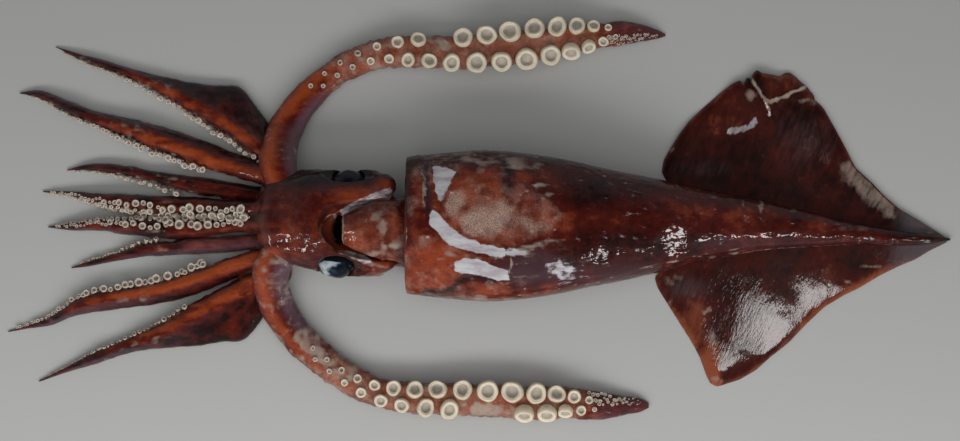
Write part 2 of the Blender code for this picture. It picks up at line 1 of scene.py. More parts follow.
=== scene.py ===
# %% [markdown]
# # A whole raw squid, lying belly up
#
# A flying squid, straight from the fish counter: a torpedo-shaped mantle with two fins at the
# tail, a head with a siphon, eight arms and two long feeding tentacles. The fixed frame that
# is loaded first holds its plain solids. Each step below makes the detailed piece that stands
# in their place, in the same coordinates. Lengths are in millimetres until a mesh is made.

# %% Load the fixed frame
import json
import math

import bmesh
import bpy
import numpy as np
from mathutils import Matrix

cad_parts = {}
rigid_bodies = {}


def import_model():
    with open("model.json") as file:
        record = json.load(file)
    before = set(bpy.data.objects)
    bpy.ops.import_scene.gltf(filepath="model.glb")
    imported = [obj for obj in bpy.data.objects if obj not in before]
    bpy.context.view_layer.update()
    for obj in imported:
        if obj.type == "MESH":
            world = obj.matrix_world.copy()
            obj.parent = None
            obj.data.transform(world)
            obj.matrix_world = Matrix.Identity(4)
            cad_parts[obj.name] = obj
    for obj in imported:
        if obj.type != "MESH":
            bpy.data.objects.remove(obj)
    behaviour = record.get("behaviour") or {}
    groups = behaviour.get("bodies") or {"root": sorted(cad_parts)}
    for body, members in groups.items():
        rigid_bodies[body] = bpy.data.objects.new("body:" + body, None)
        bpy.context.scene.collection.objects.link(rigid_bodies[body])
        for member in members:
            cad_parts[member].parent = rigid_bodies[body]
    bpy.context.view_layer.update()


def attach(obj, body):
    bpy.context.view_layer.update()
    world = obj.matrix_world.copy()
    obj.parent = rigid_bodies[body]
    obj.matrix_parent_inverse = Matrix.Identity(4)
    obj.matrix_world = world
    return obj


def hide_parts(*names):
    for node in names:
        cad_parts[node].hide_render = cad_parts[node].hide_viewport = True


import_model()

MM = 0.001
TAU = math.tau

# %% [markdown]
# ## The camera
#
# The photo looks almost straight down, from a little to the side of the lower tentacle. From
# 0.865 m away, a lens that takes in 34 degrees shows a strip 53 cm wide. The same numbers also
# tell where any point of the squid appears in the picture. That is how a mark on the skin
# finds its place on the curved surface, whatever the height of the surface there.

# %% The camera, and where a point appears in the picture
PHOTO_SIZE = np.array([960.0, 441.0])
CAMERA_DISTANCE = 865.0
CAMERA_HEIGHT_DEGREES = 86.0
CAMERA_VIEW_DEGREES = 34.0
# It stands this much nearer to the lower tentacle than a view on the middle would ask for
CAMERA_OFFSET = 0.3

camera_data = bpy.data.cameras.new("photo_camera")
camera = bpy.data.objects.new("photo_camera", camera_data)
bpy.context.scene.collection.objects.link(camera)
camera_slope = math.radians(CAMERA_HEIGHT_DEGREES)
camera_place = np.array([0.0, -math.cos(camera_slope), math.sin(camera_slope)]) * CAMERA_DISTANCE
camera_place[1] -= CAMERA_OFFSET
camera.location = camera_place * MM
camera.rotation_euler = (math.pi / 2 - camera_slope, 0, 0)
camera_data.angle = math.radians(CAMERA_VIEW_DEGREES)
camera_data.clip_start = 0.01
bpy.context.scene.camera = camera


def seen_at(points):
    """The picture coordinates of points, in pixels from the top left corner."""
    away = points - camera_place
    right = away[..., 0]
    up = away[..., 1] * math.sin(camera_slope) + away[..., 2] * math.cos(camera_slope)
    ahead = away[..., 1] * math.cos(camera_slope) - away[..., 2] * math.sin(camera_slope)
    scale = PHOTO_SIZE[0] / 2 / math.tan(math.radians(CAMERA_VIEW_DEGREES / 2)) / ahead
    return PHOTO_SIZE[0] / 2 + right * scale, PHOTO_SIZE[1] / 2 - up * scale


def on_board(x, y, height=0.0):
    """The place, in millimetres, of what shows at a picture point and lies at that height."""
    half = math.tan(math.radians(CAMERA_VIEW_DEGREES / 2))
    right = (x - PHOTO_SIZE[0] / 2) / (PHOTO_SIZE[0] / 2) * half
    up = (PHOTO_SIZE[1] / 2 - y) / (PHOTO_SIZE[0] / 2) * half
    ray = np.array(
        [
            right,
            math.cos(camera_slope) + up * math.sin(camera_slope),
            -math.sin(camera_slope) + up * math.cos(camera_slope),
        ]
    )
    return (camera_place + ray * (height - camera_place[2]) / ray[2])[:2]


print("the tail tip shows at", [round(float(v)) for v in seen_at(np.array([258.5, -10.8, 1.0]))])

# %% [markdown]
# ## Light and board
#
# The photo was taken under ceiling lamps on the near side, so soft shadows fall away from
# the camera and the board is brighter at the bottom of the picture. The board is plain pale
# grey. One long lamp on the near side and a wide one overhead do the lighting. Wet skin mirrors
# every lamp, and wide ones would wash it out, so those two aren't mirrored. Small ones stand
# where the glints of the photo ask for them, each lighting only a few pieces, as if flags kept
# it off the rest: above the right fin, past the tail for the back of the mantle and its flank,
# and past the arms for the head and the rim of the collar.
# The sky is dark overhead, which keeps the maroon deep, and paler low down, which gives the
# flanks their grey-violet sheen.


# %% Helpers for colours and nodes
def hex_colour(code):
    """Turns an sRGB hex colour into the linear numbers that Blender uses."""
    parts = [int(code[i : i + 2], 16) / 255 for i in (1, 3, 5)]
    return (*[v / 12.92 if v <= 0.04045 else ((v + 0.055) / 1.055) ** 2.4 for v in parts], 1.0)


def add(tree, kind, settings=None, stops=(), **links):
    """Adds one node. Settings are its attributes, stops the places and colours of a colour ramp,
    and links its inputs, by name or as i and a number, each a value or a socket."""
    node = tree.nodes.new(kind)
    for name, value in (settings or {}).items():
        setattr(node, name, value)
    if stops:
        elements = node.color_ramp.elements
        elements[0].position, elements[0].color = stops[0]
        elements[1].position, elements[1].color = stops[-1]
        for position, colour in stops[1:-1]:
            elements.new(position).color = colour
    for name, value in links.items():
        key = int(name[1:]) if name[0] == "i" and name[1:].isdigit() else name.replace("_", " ")
        if isinstance(value, bpy.types.NodeSocket):
            tree.links.new(value, node.inputs[key])
        else:
            node.inputs[key].default_value = value
    return node


print("a mid grey, in linear light:", round(hex_colour("#808080")[0], 3))

# %% The sky
world = bpy.data.worlds.new("studio")
bpy.context.scene.world = world
world.use_nodes = True
world.node_tree.nodes.clear()
direction = add(world.node_tree, "ShaderNodeTexCoord")
height = add(world.node_tree, "ShaderNodeSeparateXYZ", i0=direction.outputs["Generated"])
sky = add(
    world.node_tree, "ShaderNodeValToRGB", Fac=height.outputs["Z"],
    stops=[(0.5, (0.9, 0.92, 0.96, 1)), (0.85, (0.012, 0.012, 0.013, 1))],
)
background = add(world.node_tree, "ShaderNodeBackground", Color=sky.outputs["Color"], Strength=0.33)
add(world.node_tree, "ShaderNodeOutputWorld", Surface=background.outputs["Background"])
bpy.context.scene.view_settings.view_transform = "Standard"
print("sky strength:", background.inputs["Strength"].default_value)

# %% The lamps
LAMPS = {
    # name: place, aimed at, width and length in metres, watts, and what starts the names of the
    # pieces that it lights (nothing for all of them, and then no wet skin mirrors it)
    "near_lamp": ((-0.05, -0.46, 0.37), (-0.05, -0.05, 0.0), (1.40, 0.16), 4.0, ()),
    "wide_lamp": ((0.0, -0.20, 1.60), (0.0, 0.0, 0.0), (2.40, 1.80), 11.2, ()),
    "fin_lamp": ((0.350, -0.115, 0.90), (0.16, -0.05, 0.0), (0.12, 0.18), 1.1, ("fin",)),
    "mantle_lamp": ((0.913, -0.70, 0.90), (0.1, -0.01, 0.03), (0.12, 0.14), 1.3, ("mantle",)),
    "flank_lamp": (
        (0.65, -0.78, 0.90), (0.06, -0.02, 0.03), (0.07, 0.07), 0.4, ("mantle", "arm", "tentacle"),
    ),
    "head_lamp": (
        (-1.15, -0.81, 0.90), (-0.1, -0.01, 0.03), (0.12, 0.16), 1.45, ("head", "funnel", "eye"),
    ),
    "collar_lamp": (
        (-1.08, -0.09, 0.90), (-0.05, -0.01, 0.03), (0.05, 0.20), 0.8, ("mantle", "funnel"),
    ),
}
for name, (place, aim, size, watts, lit) in LAMPS.items():
    lamp_data = bpy.data.lights.new(name, "AREA")
    lamp_data.shape = "RECTANGLE"
    lamp_data.size, lamp_data.size_y = size
    lamp_data.energy = watts
    lamp_data.color = (1.0, 0.985, 0.965)
    lamp = bpy.data.objects.new(name, lamp_data)
    bpy.context.scene.collection.objects.link(lamp)
    lamp.visible_glossy = bool(lit)
    lamp.location = place
    toward = lamp.location.copy()
    toward.negate()
    toward += type(toward)(aim)
    lamp.rotation_euler = toward.to_track_quat("-Z", "Y").to_euler()


def light_only_their_pieces():
    """Limits each small lamp to the pieces that it is there for, and leaves the solids alone."""
    own_endings = ("_skin", "_piece", "_ball", "_suckers")
    for name, (_, _, _, _, lit) in LAMPS.items():
        if lit:
            pieces = bpy.data.collections.new(name + "_pieces")
            for piece in bpy.context.scene.objects:
                if piece.name.startswith(lit) and piece.name.endswith(own_endings):
                    pieces.objects.link(piece)
            bpy.data.objects[name].light_linking.receiver_collection = pieces


print("lamps:", ", ".join(LAMPS))

# %% The board
bpy.ops.mesh.primitive_plane_add(size=6.0, location=(0, 0, 0))
board = bpy.context.object
board.name = "board"
board_paint = bpy.data.materials.new("matt_laminate_board")
board_paint.use_nodes = True
board_shader = board_paint.node_tree.nodes["Principled BSDF"]
board_shader.inputs["Base Color"].default_value = hex_colour("#aeafae")
board_shader.inputs["Roughness"].default_value = 0.55
board.data.materials.append(board_paint)
print("board:", board_paint.name)

# %% [markdown]
# ## Tools for soft shapes
#
# A squid has no straight edge and no part that repeats exactly, so its pieces are lofts:
# cross-sections set along a line and skinned over. A few stations hold the measured widths
# and heights, and a smooth curve through them gives every ring between. Lumps and wrinkles
# then come from noise that moves the points along their normals, so that they are real shape
# and catch the light as such.


# %% Smooth curves, noise and lofts
def smooth(stations, at):
    """Values of a smooth curve through the stations, whose first column is the place along it."""
    knots = np.asarray(stations, float)
    place, value = knots[:, 0], knots[:, 1:]
    at = np.clip(np.atleast_1d(np.asarray(at, float)), place[0], place[-1])
    slope = np.gradient(value, place, axis=0)
    i = np.clip(np.searchsorted(place, at, side="right") - 1, 0, len(place) - 2)
    span = (place[i + 1] - place[i])[:, None]
    t = (at - place[i])[:, None] / span
    return (
        (2 * t**3 - 3 * t**2 + 1) * value[i]
        + (t**3 - 2 * t**2 + t) * span * slope[i]
        + (3 * t**2 - 2 * t**3) * value[i + 1]
        + (t**3 - t**2) * span * slope[i + 1]
    )


def along(points):
    """The points of a route with the distance from its start put in front."""
    points = np.asarray(points, float)
    steps = np.hypot(*np.diff(points[:, :2], axis=0).T)
    return np.column_stack([np.concatenate([[0.0], np.cumsum(steps)]), points])


def eased(x, low, high):
    """0 below low, 1 above high, and a smooth rise between them."""
    t = np.clip((np.asarray(x, float) - low) / (high - low), 0, 1)
    return t * t * (3 - 2 * t)


LATTICE = np.random.default_rng(11).uniform(-1, 1, (48, 48, 48))


def noise(points, size, octaves=1, shift=0.0):
    """Smooth noise between -1 and 1 whose lumps are about `size` millimetres."""
    total = np.zeros(points.shape[:-1])
    for octave in range(octaves):
        place = points * 2**octave / size + shift + 7.3 * octave
        cell = np.floor(place).astype(int)
        t = place - cell
        t = t * t * (3 - 2 * t)
        for corner in range(8):
            step = np.array([corner & 1, corner >> 1 & 1, corner >> 2 & 1])
            share = np.prod(np.where(step, t, 1 - t), axis=-1)
            total += share * LATTICE[tuple(np.moveaxis((cell + step) % 48, -1, 0))] / 2**octave
    return total


def rings_of(x, y, z):
    """Rings of points: one x for each ring, and a y and z for each of its points."""
    return np.stack([np.broadcast_to(np.asarray(x)[:, None], y.shape), y, z], -1)


def loft(name, rings):
    """A closed skin over rings of points, with a fan of faces over each end."""
    rings = np.asarray(rings, float)
    count, sides = rings.shape[:2]
    index = np.arange(count * sides).reshape(count, sides)
    a, b = index[:-1], index[1:]
    faces = np.stack([a, np.roll(a, -1, 1), np.roll(b, -1, 1), b], -1).reshape(-1, 4).tolist()
    points = np.concatenate([rings.reshape(-1, 3), [rings[0].mean(0), rings[-1].mean(0)]])
    for k in range(sides):
        n = (k + 1) % sides
        faces.append((count * sides, n, k))
        faces.append((count * sides + 1, index[-1, k], index[-1, n]))
    mesh = bpy.data.meshes.new(name)
    mesh.from_pydata(points * MM, [], faces)
    return finish_mesh(name, mesh)


def finish_mesh(name, mesh):
    """Welds and turns the faces outwards, smooths the shading and puts the mesh in an object."""
    bm = bmesh.new()
    bm.from_mesh(mesh)
    bmesh.ops.remove_doubles(bm, verts=bm.verts, dist=1e-6)
    bmesh.ops.recalc_face_normals(bm, faces=bm.faces)
    bm.to_mesh(mesh)
    bm.free()
    mesh.shade_smooth()
    piece = bpy.data.objects.new(name, mesh)
    bpy.context.scene.collection.objects.link(piece)
    return piece


def points_of(piece):
    """The points of a piece and their normals, as arrays in millimetres."""
    mesh = piece.data
    places = np.empty(len(mesh.vertices) * 3)
    mesh.vertices.foreach_get("co", places)
    normals = np.empty(len(mesh.vertices) * 3)
    mesh.vertex_normals.foreach_get("vector", normals)
    return places.reshape(-1, 3) / MM, normals.reshape(-1, 3)


def push(piece, amount):
    """Moves the points of a piece along their normals, and never below the board."""
    places, normals = points_of(piece)
    places = places + normals * np.asarray(amount)[:, None]
    places[:, 2] = np.maximum(places[:, 2], 0.02)
    piece.data.vertices.foreach_set("co", (places * MM).ravel())
    piece.data.update()


def store(piece, **masks):
    """Keeps one number a point under each name, for the material to read."""
    for name, values in masks.items():
        layer = piece.data.attributes.new(name, "FLOAT", "POINT")
        values = np.array(np.broadcast_to(values, len(layer.data)), np.float32)
        layer.data.foreach_set("value", values)


print("noise lattice:", LATTICE.shape)

# %% [markdown]
# ## Marks on the skin
#
# The squid has been handled. Skin has come off in bands, blotches and scuffs, and each mark
# has its own outline. An outline is held as the picture points of its corners, read from the
# photo. For every point of a mesh, `seen_at` gives the picture point, and the two
# functions below give its distance to a line or to an outline. The distance is stored, and
# the material draws the edge there, so that it stays sharp however far apart the points are.


# %% Distances to lines and outlines in the picture
def to_line(x, y, line):
    """Distance from each picture point to a line through the given points, in pixels."""
    nearest = np.full(np.shape(x), np.inf)
    for (x0, y0), (x1, y1) in zip(line[:-1], line[1:]):
        run = np.array([x1 - x0, y1 - y0], float)
        t = np.clip(((x - x0) * run[0] + (y - y0) * run[1]) / (run @ run), 0, 1)
        nearest = np.minimum(nearest, np.hypot(x - x0 - t * run[0], y - y0 - t * run[1]))
    return nearest


def into_outline(x, y, outline):
    """How far each picture point lies inside an outline, in pixels; negative outside it."""
    closed = [*outline, outline[0]]
    inside = np.zeros(np.shape(x), bool)
    for (x0, y0), (x1, y1) in zip(closed[:-1], closed[1:]):
        if y0 != y1:
            crosses = (y0 > y) != (y1 > y)
            inside ^= crosses & (x < (x1 - x0) * (y - y0) / (y1 - y0) + x0)
    return np.where(inside, 1.0, -1.0) * to_line(x, y, closed)


def spot(x, y, at, size):
    """A soft oval blotch: 1 in the middle, fading to 0 a good way outside the given size."""
    reach = np.hypot((x - at[0]) / size[0], (y - at[1]) / size[1])
    return 1 - eased(reach, 0.1, 1.7)


def blotches(x, y, rows, together=np.max):
    """The strongest of several blotches, or with np.sum all of them laid over each other. A row
    holds the middle of one, its half width and half height, and how strong it is."""
    return together([s * spot(x, y, (px, py), (w, h)) for px, py, w, h, s in rows], axis=0)


def strip(x, y, line, width):
    """A soft band along a line: 1 on it, 0 from `width` pixels away."""
    return 1 - eased(to_line(x, y, line), 0.15 * width, width)


def ragged(x, y, places, amount, size):
    """Picture points shifted by noise, so that a blotch drawn with them has a torn edge."""
    return x + amount * noise(places, size, 3), y + amount * noise(places, size, 3, shift=5.7)


# Stored as `bare` where the skin is whole: far outside every outline
NOT_BARE = -9.0
print("a blotch of half size 1, at 0, 1 and 2:", spot(np.arange(3), 0, (0, 0), (1, 1)).round(2))

# %% [markdown]
# ## Skin
#
# Squid skin is a clear wet film over a layer of tiny colour sacs, over white muscle. The sacs
# are dark red, brown and orange dots, well under a millimetre wide, and where they crowd
# together the skin looks maroon. Where they are few, the orange between them shows. Where
# the skin is scuffed, single dots stand on pinkish grey, and where it has gone the muscle is
# bluish white. One material holds all of these, mixed by the numbers stored on the points:
#
# - `warm`: 0 is maroon, 1 is bright orange.
# - `violet`: grey-violet skin, and a painted grey-violet sheen on rounded sides.
# - `pale`: smooth beige, where the colour layer is rubbed thin.
# - `scuff`: where the colour sacs stand apart, as pale grains between them.
# - `bare`: millimetres inside the edge of bare white muscle.
# - `dark`: near black: dark marks, tears and the hollows round the eyes, and painted shade
#   in creases, folds, pits, gaps and the groove.


# %% The skin material
LUMPS = {
    # size in millimetres, detail, roughness, and whether they are drawn out along the fibres
    "cloud": (22.0, 8.0, 0.7, False),
    "blotch": (8.0, 6.0, 0.7, False),
    "fibre": (2.4, 5.0, 0.66, True),
    "muscle": (4.0, 5.0, 0.6, True),
    "wrinkle": (1.1, 3.0, 0.7, True),
    "wave": (5.0, 3.0, 0.5, True),
    "streak": (0.9, 2.0, 0.6, True),
}
# One colour sac stands in each cell of this size, half as large again as a real one, and one
# grain of scuffed skin in each of the smaller cells; both in millimetres
SAC_CELL, GRAIN_CELL = 0.95, 0.6


def make_skin(name, deep, mid, bright, violet, stretch, turned=0.0, film=0.5, brushed=0.02, torn=1.1):
    """Wet squid skin over muscle. Colours run from deep maroon to bright orange, and the
    fibres are drawn out by `stretch` after a turn of so many degrees. `film` is how uneven the
    wet film is, `brushed` the depth in millimetres of the fine streaks in it, and `torn` how
    far the edges of bare muscle are frayed."""
    skin = bpy.data.materials.new(name)
    skin.use_nodes = True
    tree = skin.node_tree
    tree.nodes.clear()
    stored = {
        key: add(tree, "ShaderNodeAttribute", {"attribute_name": key}).outputs["Fac"]
        for key in ("warm", "violet", "pale", "scuff", "bare", "dark")
    }
    place = add(tree, "ShaderNodeTexCoord").outputs["Object"]
    drawn = add(
        tree, "ShaderNodeMapping", {"vector_type": "TEXTURE"}, Vector=place, Scale=stretch,
        Rotation=(0, 0, math.radians(turned)),
    ).outputs["Vector"]
    lumps = {
        key: add(
            tree, "ShaderNodeTexNoise", Vector=drawn if fibrous else place, Scale=1 / (size * MM),
            Detail=detail, Roughness=rough,
        ).outputs["Fac"]
        for key, (size, detail, rough, fibrous) in LUMPS.items()
    }
    sacs, grains = (
        add(tree, "ShaderNodeTexVoronoi", Vector=place, Scale=1 / (cell * MM)).outputs["Distance"]
        for cell in (SAC_CELL, GRAIN_CELL)
    )

    def uneven(key, **amounts):
        """A stored number, made uneven by lumps of each kind, by as much as the amount."""
        value = stored[key]
        for kind, amount in amounts.items():
            part = add(
                tree, "ShaderNodeMath", {"operation": "MULTIPLY_ADD"},
                i0=lumps[kind], i1=2 * amount, i2=-amount,
            )
            value = add(tree, "ShaderNodeMath", i0=value, i1=part.outputs["Value"]).outputs["Value"]
        return value

    def painted(under, over, value, low, high, least=0.0, most=1.0):
        """One colour over another, with more of it as the value goes from low to high."""
        share = add(
            tree, "ShaderNodeMapRange", {"interpolation_type": "SMOOTHSTEP"}, Value=value,
            From_Min=low, From_Max=high, To_Min=least, To_Max=most,
        ).outputs["Result"]
        return add(tree, "ShaderNodeMix", {"data_type": "RGBA"}, i0=share, i6=under, i7=over).outputs[2]

    colour = add(
        tree, "ShaderNodeValToRGB", Fac=uneven("warm", cloud=0.6, fibre=0.3, blotch=0.4),
        stops=[(0.0, hex_colour(deep)), (0.45, hex_colour(mid)), (1.0, hex_colour(bright))],
    ).outputs["Color"]
    # Grey-violet skin, and a painted sheen on rounded sides
    colour = painted(colour, hex_colour(violet), uneven("violet", fibre=0.35), 0.1, 1.2)
    colour = painted(colour, hex_colour("#000000"), sacs, 0.55, 0.1, most=0.16)
    # Rubbed skin is beige, in shreds
    beige = painted(hex_colour("#a39888"), hex_colour("#857069"), lumps["blotch"], 0.35, 0.65)
    colour = painted(colour, beige, uneven("pale", blotch=0.7, fibre=0.5), 0.35, 1.25, most=0.85)
    # Scuffed skin has pale grains between the sacs
    grainy = painted(colour, hex_colour("#a8978c"), grains, 0.2, 0.7, least=0.25)
    colour = painted(colour, grainy, uneven("scuff", blotch=0.6), 0.1, 1.05, most=0.8)
    # The edge of bare muscle is torn along the fibres
    muscle = painted(hex_colour("#b6b7bb"), hex_colour("#978f95"), lumps["muscle"], 0.35, 0.7)
    colour = painted(colour, muscle, uneven("bare", fibre=torn), -0.2, 0.35)
    # Near black: dark marks, and painted shade in creases, folds, pits and gaps
    colour = painted(colour, hex_colour("#100b0b"), uneven("dark", blotch=0.35), 0.1, 1.0, most=0.95)

    # Fine wrinkles in the skin, and slow waves with fine streaks in the wet film on it
    wrinkles = add(tree, "ShaderNodeBump", Strength=0.4, Distance=0.3 * MM, Height=lumps["wrinkle"])
    waves = add(tree, "ShaderNodeBump", Strength=film, Distance=0.6 * MM, Height=lumps["wave"])
    streaks = add(
        tree, "ShaderNodeBump", Strength=1.0, Distance=brushed * MM, Height=lumps["streak"],
        Normal=waves.outputs["Normal"],
    )
    roughness, wetness = (
        add(
            tree, "ShaderNodeMapRange", {"interpolation_type": "SMOOTHSTEP"}, Value=lumps[kind],
            From_Min=low, From_Max=high, To_Min=least, To_Max=most,
        ).outputs["Result"]
        for kind, low, high, least, most in (
            ("cloud", 0.3, 0.7, 0.35, 0.55), ("blotch", 0.25, 0.5, 0.75, 1.0),
        )
    )
    shader = add(
        tree, "ShaderNodeBsdfPrincipled", Base_Color=colour, Roughness=roughness, IOR=1.36,
        Normal=wrinkles.outputs["Normal"], Specular_IOR_Level=0.12, Subsurface_Weight=0.1,
        Subsurface_Radius=(1.0, 0.3, 0.2), Subsurface_Scale=1.5 * MM, Coat_Weight=wetness,
        Coat_Roughness=0.05, Coat_IOR=1.36, Coat_Normal=streaks.outputs["Normal"],
    )
    add(tree, "ShaderNodeOutputMaterial", Surface=shader.outputs["BSDF"])
    return skin


body_skin = make_skin(
    "wet_squid_skin_body", deep="#1d0a09", mid="#45150f", bright="#853b22", violet="#40292e",
    stretch=(2.9, 1.0, 1.0),
)
fin_skin = make_skin(
    "wet_squid_skin_fin", deep="#1b0b09", mid="#3f1712", bright="#7d422c", violet="#4d464a",
    stretch=(1.0, 5.0, 1.0), turned=-24.0, film=0.05, brushed=0.038, torn=0.3,
)
limb_skin = make_skin(
    "wet_squid_skin_limb", deep="#1f0f0f", mid="#531a11", bright="#8f4020", violet="#57414a",
    stretch=(2.2, 1.0, 1.0), film=0.6,
)
print("skins:", body_skin.name, fin_skin.name, limb_skin.name)

# %% [markdown]
# ## The mantle
#
# The mantle is a muscular bag. It is widest near the front, tapers to the tail, and sags to a
# soft oval that is flat where it lies. The loft starts inside the opening, comes forward to
# the rim and turns over it, so the rim has its real thickness and the neck goes in under it.

# %% The form of the mantle
COLLAR_X = -40.0
TAIL_TIP_X = 258.5
MANTLE = [
    # x, centre y, half width, height
    (-40.0, -4.2, 37.0, 40.0),
    (-20.0, -4.4, 39.0, 44.0),
    (0.0, -4.5, 40.3, 46.5),
    (33.0, -4.6, 38.0, 46.0),
    (66.0, -4.5, 31.2, 41.0),
    (96.0, -4.4, 25.0, 35.0),
    (121.0, -3.8, 19.4, 29.0),
    (143.0, -3.6, 15.4, 24.0),
    (176.0, -5.2, 9.8, 17.0),
    (203.0, -7.8, 5.9, 11.5),
    (231.0, -10.4, 3.6, 7.5),
    (251.0, -10.8, 1.9, 4.5),
    (TAIL_TIP_X, -10.8, 0.7, 2.0),
]
# A body that rests is widest a little below half its height, and rather square in section
WIDEST_SHARE = 0.46
SQUARENESS = 0.9


def body_rings(x, shape, sides, floor=None):
    """Cross-sections of the mantle or the head: soft ovals, flat where they rest."""
    centre, half_width, height = (shape[:, i : i + 1] for i in range(3))
    floor = np.zeros_like(height) if floor is None else np.maximum(floor[:, None], 0.0)
    widest = floor + (height - floor) * WIDEST_SHARE
    angle = np.linspace(0, TAU, sides, endpoint=False)[None, :]
    c, s = np.cos(angle), np.sin(angle)
    reach = np.where(s > 0, height - widest, 1.12 * (widest - floor))
    y = centre + half_width * np.sign(c) * np.abs(c) ** SQUARENESS
    z = np.maximum(widest + reach * np.sign(s) * np.abs(s) ** SQUARENESS, floor)
    return rings_of(x, y, z)


def mantle_rings(count=330, sides=176):
    """The rings of the mantle, from inside its opening, over the rim and back to the tail."""
    outer_x = COLLAR_X + 0.9 + (TAIL_TIP_X - COLLAR_X - 0.9) * np.linspace(0, 1, count) ** 0.97
    outer = body_rings(outer_x, smooth(MANTLE, outer_x), sides)
    # Inside the opening and over the rim: how far back from the rim, and how far in
    turn = [
        (15.0, 9.0), (12.5, 5.2), (9.0, 3.6), (5.0, 3.2), (1.6, 3.0), (0.5, 2.5), (0.0, 1.5), (0.25, 0.5),
    ]
    inner_x = np.array([COLLAR_X + back for back, _ in turn])
    shape = smooth(MANTLE, inner_x)
    inset = np.array([inward for _, inward in turn])
    shape[:, 1] -= inset
    shape[:, 2] -= inset
    inner = body_rings(inner_x, shape, sides, floor=inset)
    return np.concatenate([inner, outer])


mantle = loft("mantle_skin_piece", mantle_rings())
print("mantle:", len(mantle.data.polygons), "faces")

# %% [markdown]
# Its marks, from the front: a crease behind the collar, darkened with painted shade, a bare grey
# triangle, a white band that curves back under a flap of scuffed skin, a bright bare strip, beige
# blotches where the skin is worn through, and a long stretch that runs from orange at the collar to
# maroon. Painted shade also darkens the fold at the lower front corner, the upper front rim and
# the top edge.

# %% The marks on the mantle
BARE_TRIANGLE = [(432, 166), (446, 167), (456, 172), (449, 185), (441, 203), (435, 190)]
BARE_BAND = [
    (429, 213), (433, 210), (437, 212), (442, 219), (450, 227), (459, 233), (468, 239), (480, 243),
    (492, 246), (506, 247), (507, 257), (497, 258), (488, 255), (478, 253), (468, 252), (458, 249),
    (449, 244), (441, 237), (434, 229), (429, 221),
]
BARE_STRIP = [
    (454, 262), (465, 258), (480, 260), (495, 266), (507, 270), (510, 281), (498, 281), (485, 277),
    (470, 275), (455, 271),
]
FLAP_EDGE = [
    (447, 188), (440, 205), (447, 219), (458, 230), (472, 239), (490, 244), (510, 246), (535, 244),
    (552, 237), (561, 226), (564, 214),
]
SCUFFED = [
    # x, y, half width, half height, strength
    (455, 206, 13, 17, 1.0), (484, 222, 26, 16, 1.1), (502, 212, 13, 14, 0.9), (526, 224, 22, 9, 0.75),
    (470, 232, 18, 8, 0.8), (540, 206, 12, 8, 0.4), (462, 188, 14, 8, 0.5),
]
FLAP = [
    (448, 188), (441, 204), (448, 218), (458, 229), (472, 238), (490, 243), (510, 245), (535, 243),
    (552, 236), (562, 226), (566, 212), (556, 200), (520, 180), (480, 178),
]
# Thin raised lines: where the lower fin joins, and drawn threads on the back of the body
THREADS = [
    [(690, 262), (720, 255), (750, 251), (795, 248), (840, 246), (880, 246)],
    [(690, 197), (720, 198), (742, 199)], [(560, 172), (600, 181), (650, 196)],
    [(640, 268), (690, 257), (740, 248)], [(450, 262), (445, 272), (442, 285)],
    [(431, 237), (437, 233), (444, 240)], [(470, 262), (480, 256), (489, 254)],
    [(524, 186), (526, 192), (525, 198)], [(519, 188), (521, 194), (520, 199)],
    [(530, 186), (532, 191), (531, 196)], [(536, 250), (550, 241), (566, 240)],
]
# The crease behind the collar and the fold at the lower front corner; both are darkened with painted
# shade
CREASE = [(427, 153), (426, 180), (428, 212)]
CREASE_FOLD = [(426, 293), (440, 293), (452, 290), (462, 280), (472, 277), (492, 281)]
# Dents with a flat bottom, each of which mirrors a lamp: middle and half size in the picture,
# and the direction that the bottom faces
DENTS = [
    ((674, 241), (17, 19), (0.267, -0.299, 0.916)),
    ((602, 255), (11, 9), (0.206, -0.349, 0.914)),
]
# How deep a dent is for each pixel of its half height, and how deep any may be; in millimetres
DENT_DEPTH = 0.055
DEEPEST_DENT = 2.5
PALE_ON_MANTLE = [
    # x, y, half width, half height, strength
    (515, 163, 12, 6, 1.25), (535, 166, 14, 4, 0.8), (541, 186, 7, 4, 1.1), (551, 195, 6, 4, 1.0),
    (440, 157, 12, 3, 0.8), (478, 162, 34, 4, 0.9), (424, 190, 1.6, 26, 1.1), (438, 258, 7, 2, 0.8),
    (449, 254, 9, 3, 1.0), (449, 266, 3, 5, 0.8), (480, 298, 9, 3, 1.0), (507, 298, 8, 3, 0.9),
    (518, 252, 13, 5, 1.3), (532, 247, 14, 3, 1.15), (550, 241, 12, 3, 0.9), (510, 260, 1.2, 17, 1.3),
    (528, 277, 20, 3, 0.75), (560, 246, 12, 7, 0.55), (563, 274, 16, 9, 0.5),
    (745, 202, 2, 5, 1.0), (761, 207, 2, 9, 1.1), (794, 210, 7, 2, 0.8), (850, 229, 34, 3, 0.6),
    (497, 256, 9, 2, 0.8), (505, 283, 10, 3, 0.8), (640, 186, 30, 2, 0.5),
]
# Warmer and cooler blotches; the narrow dark ones down the fold at x 507 and along the front rim at x 408
# are painted shade
WARM_ON_MANTLE = [
    (435, 265, 24, 26, 0.3), (480, 190, 46, 20, 0.28), (545, 215, 16, 18, 0.2),
    (715, 212, 50, 8, 0.25), (600, 190, 60, 18, -0.25), (507, 178, 7, 24, -0.6),
    (535, 265, 36, 18, -0.45), (620, 250, 60, 20, -0.3), (408, 190, 4, 50, -0.35),
]
# Grey-violet on the flanks: partly the skin's own tone, partly painted sheen
VIOLET_ON_MANTLE = [
    (530, 262, 32, 18, 0.95), (600, 275, 100, 16, 0.7), (740, 243, 120, 9, 0.55),
    (560, 160, 120, 6, 0.4),
]
print("marks on the mantle:", len(SCUFFED) + len(PALE_ON_MANTLE) + len(THREADS) + len(DENTS) + 3)

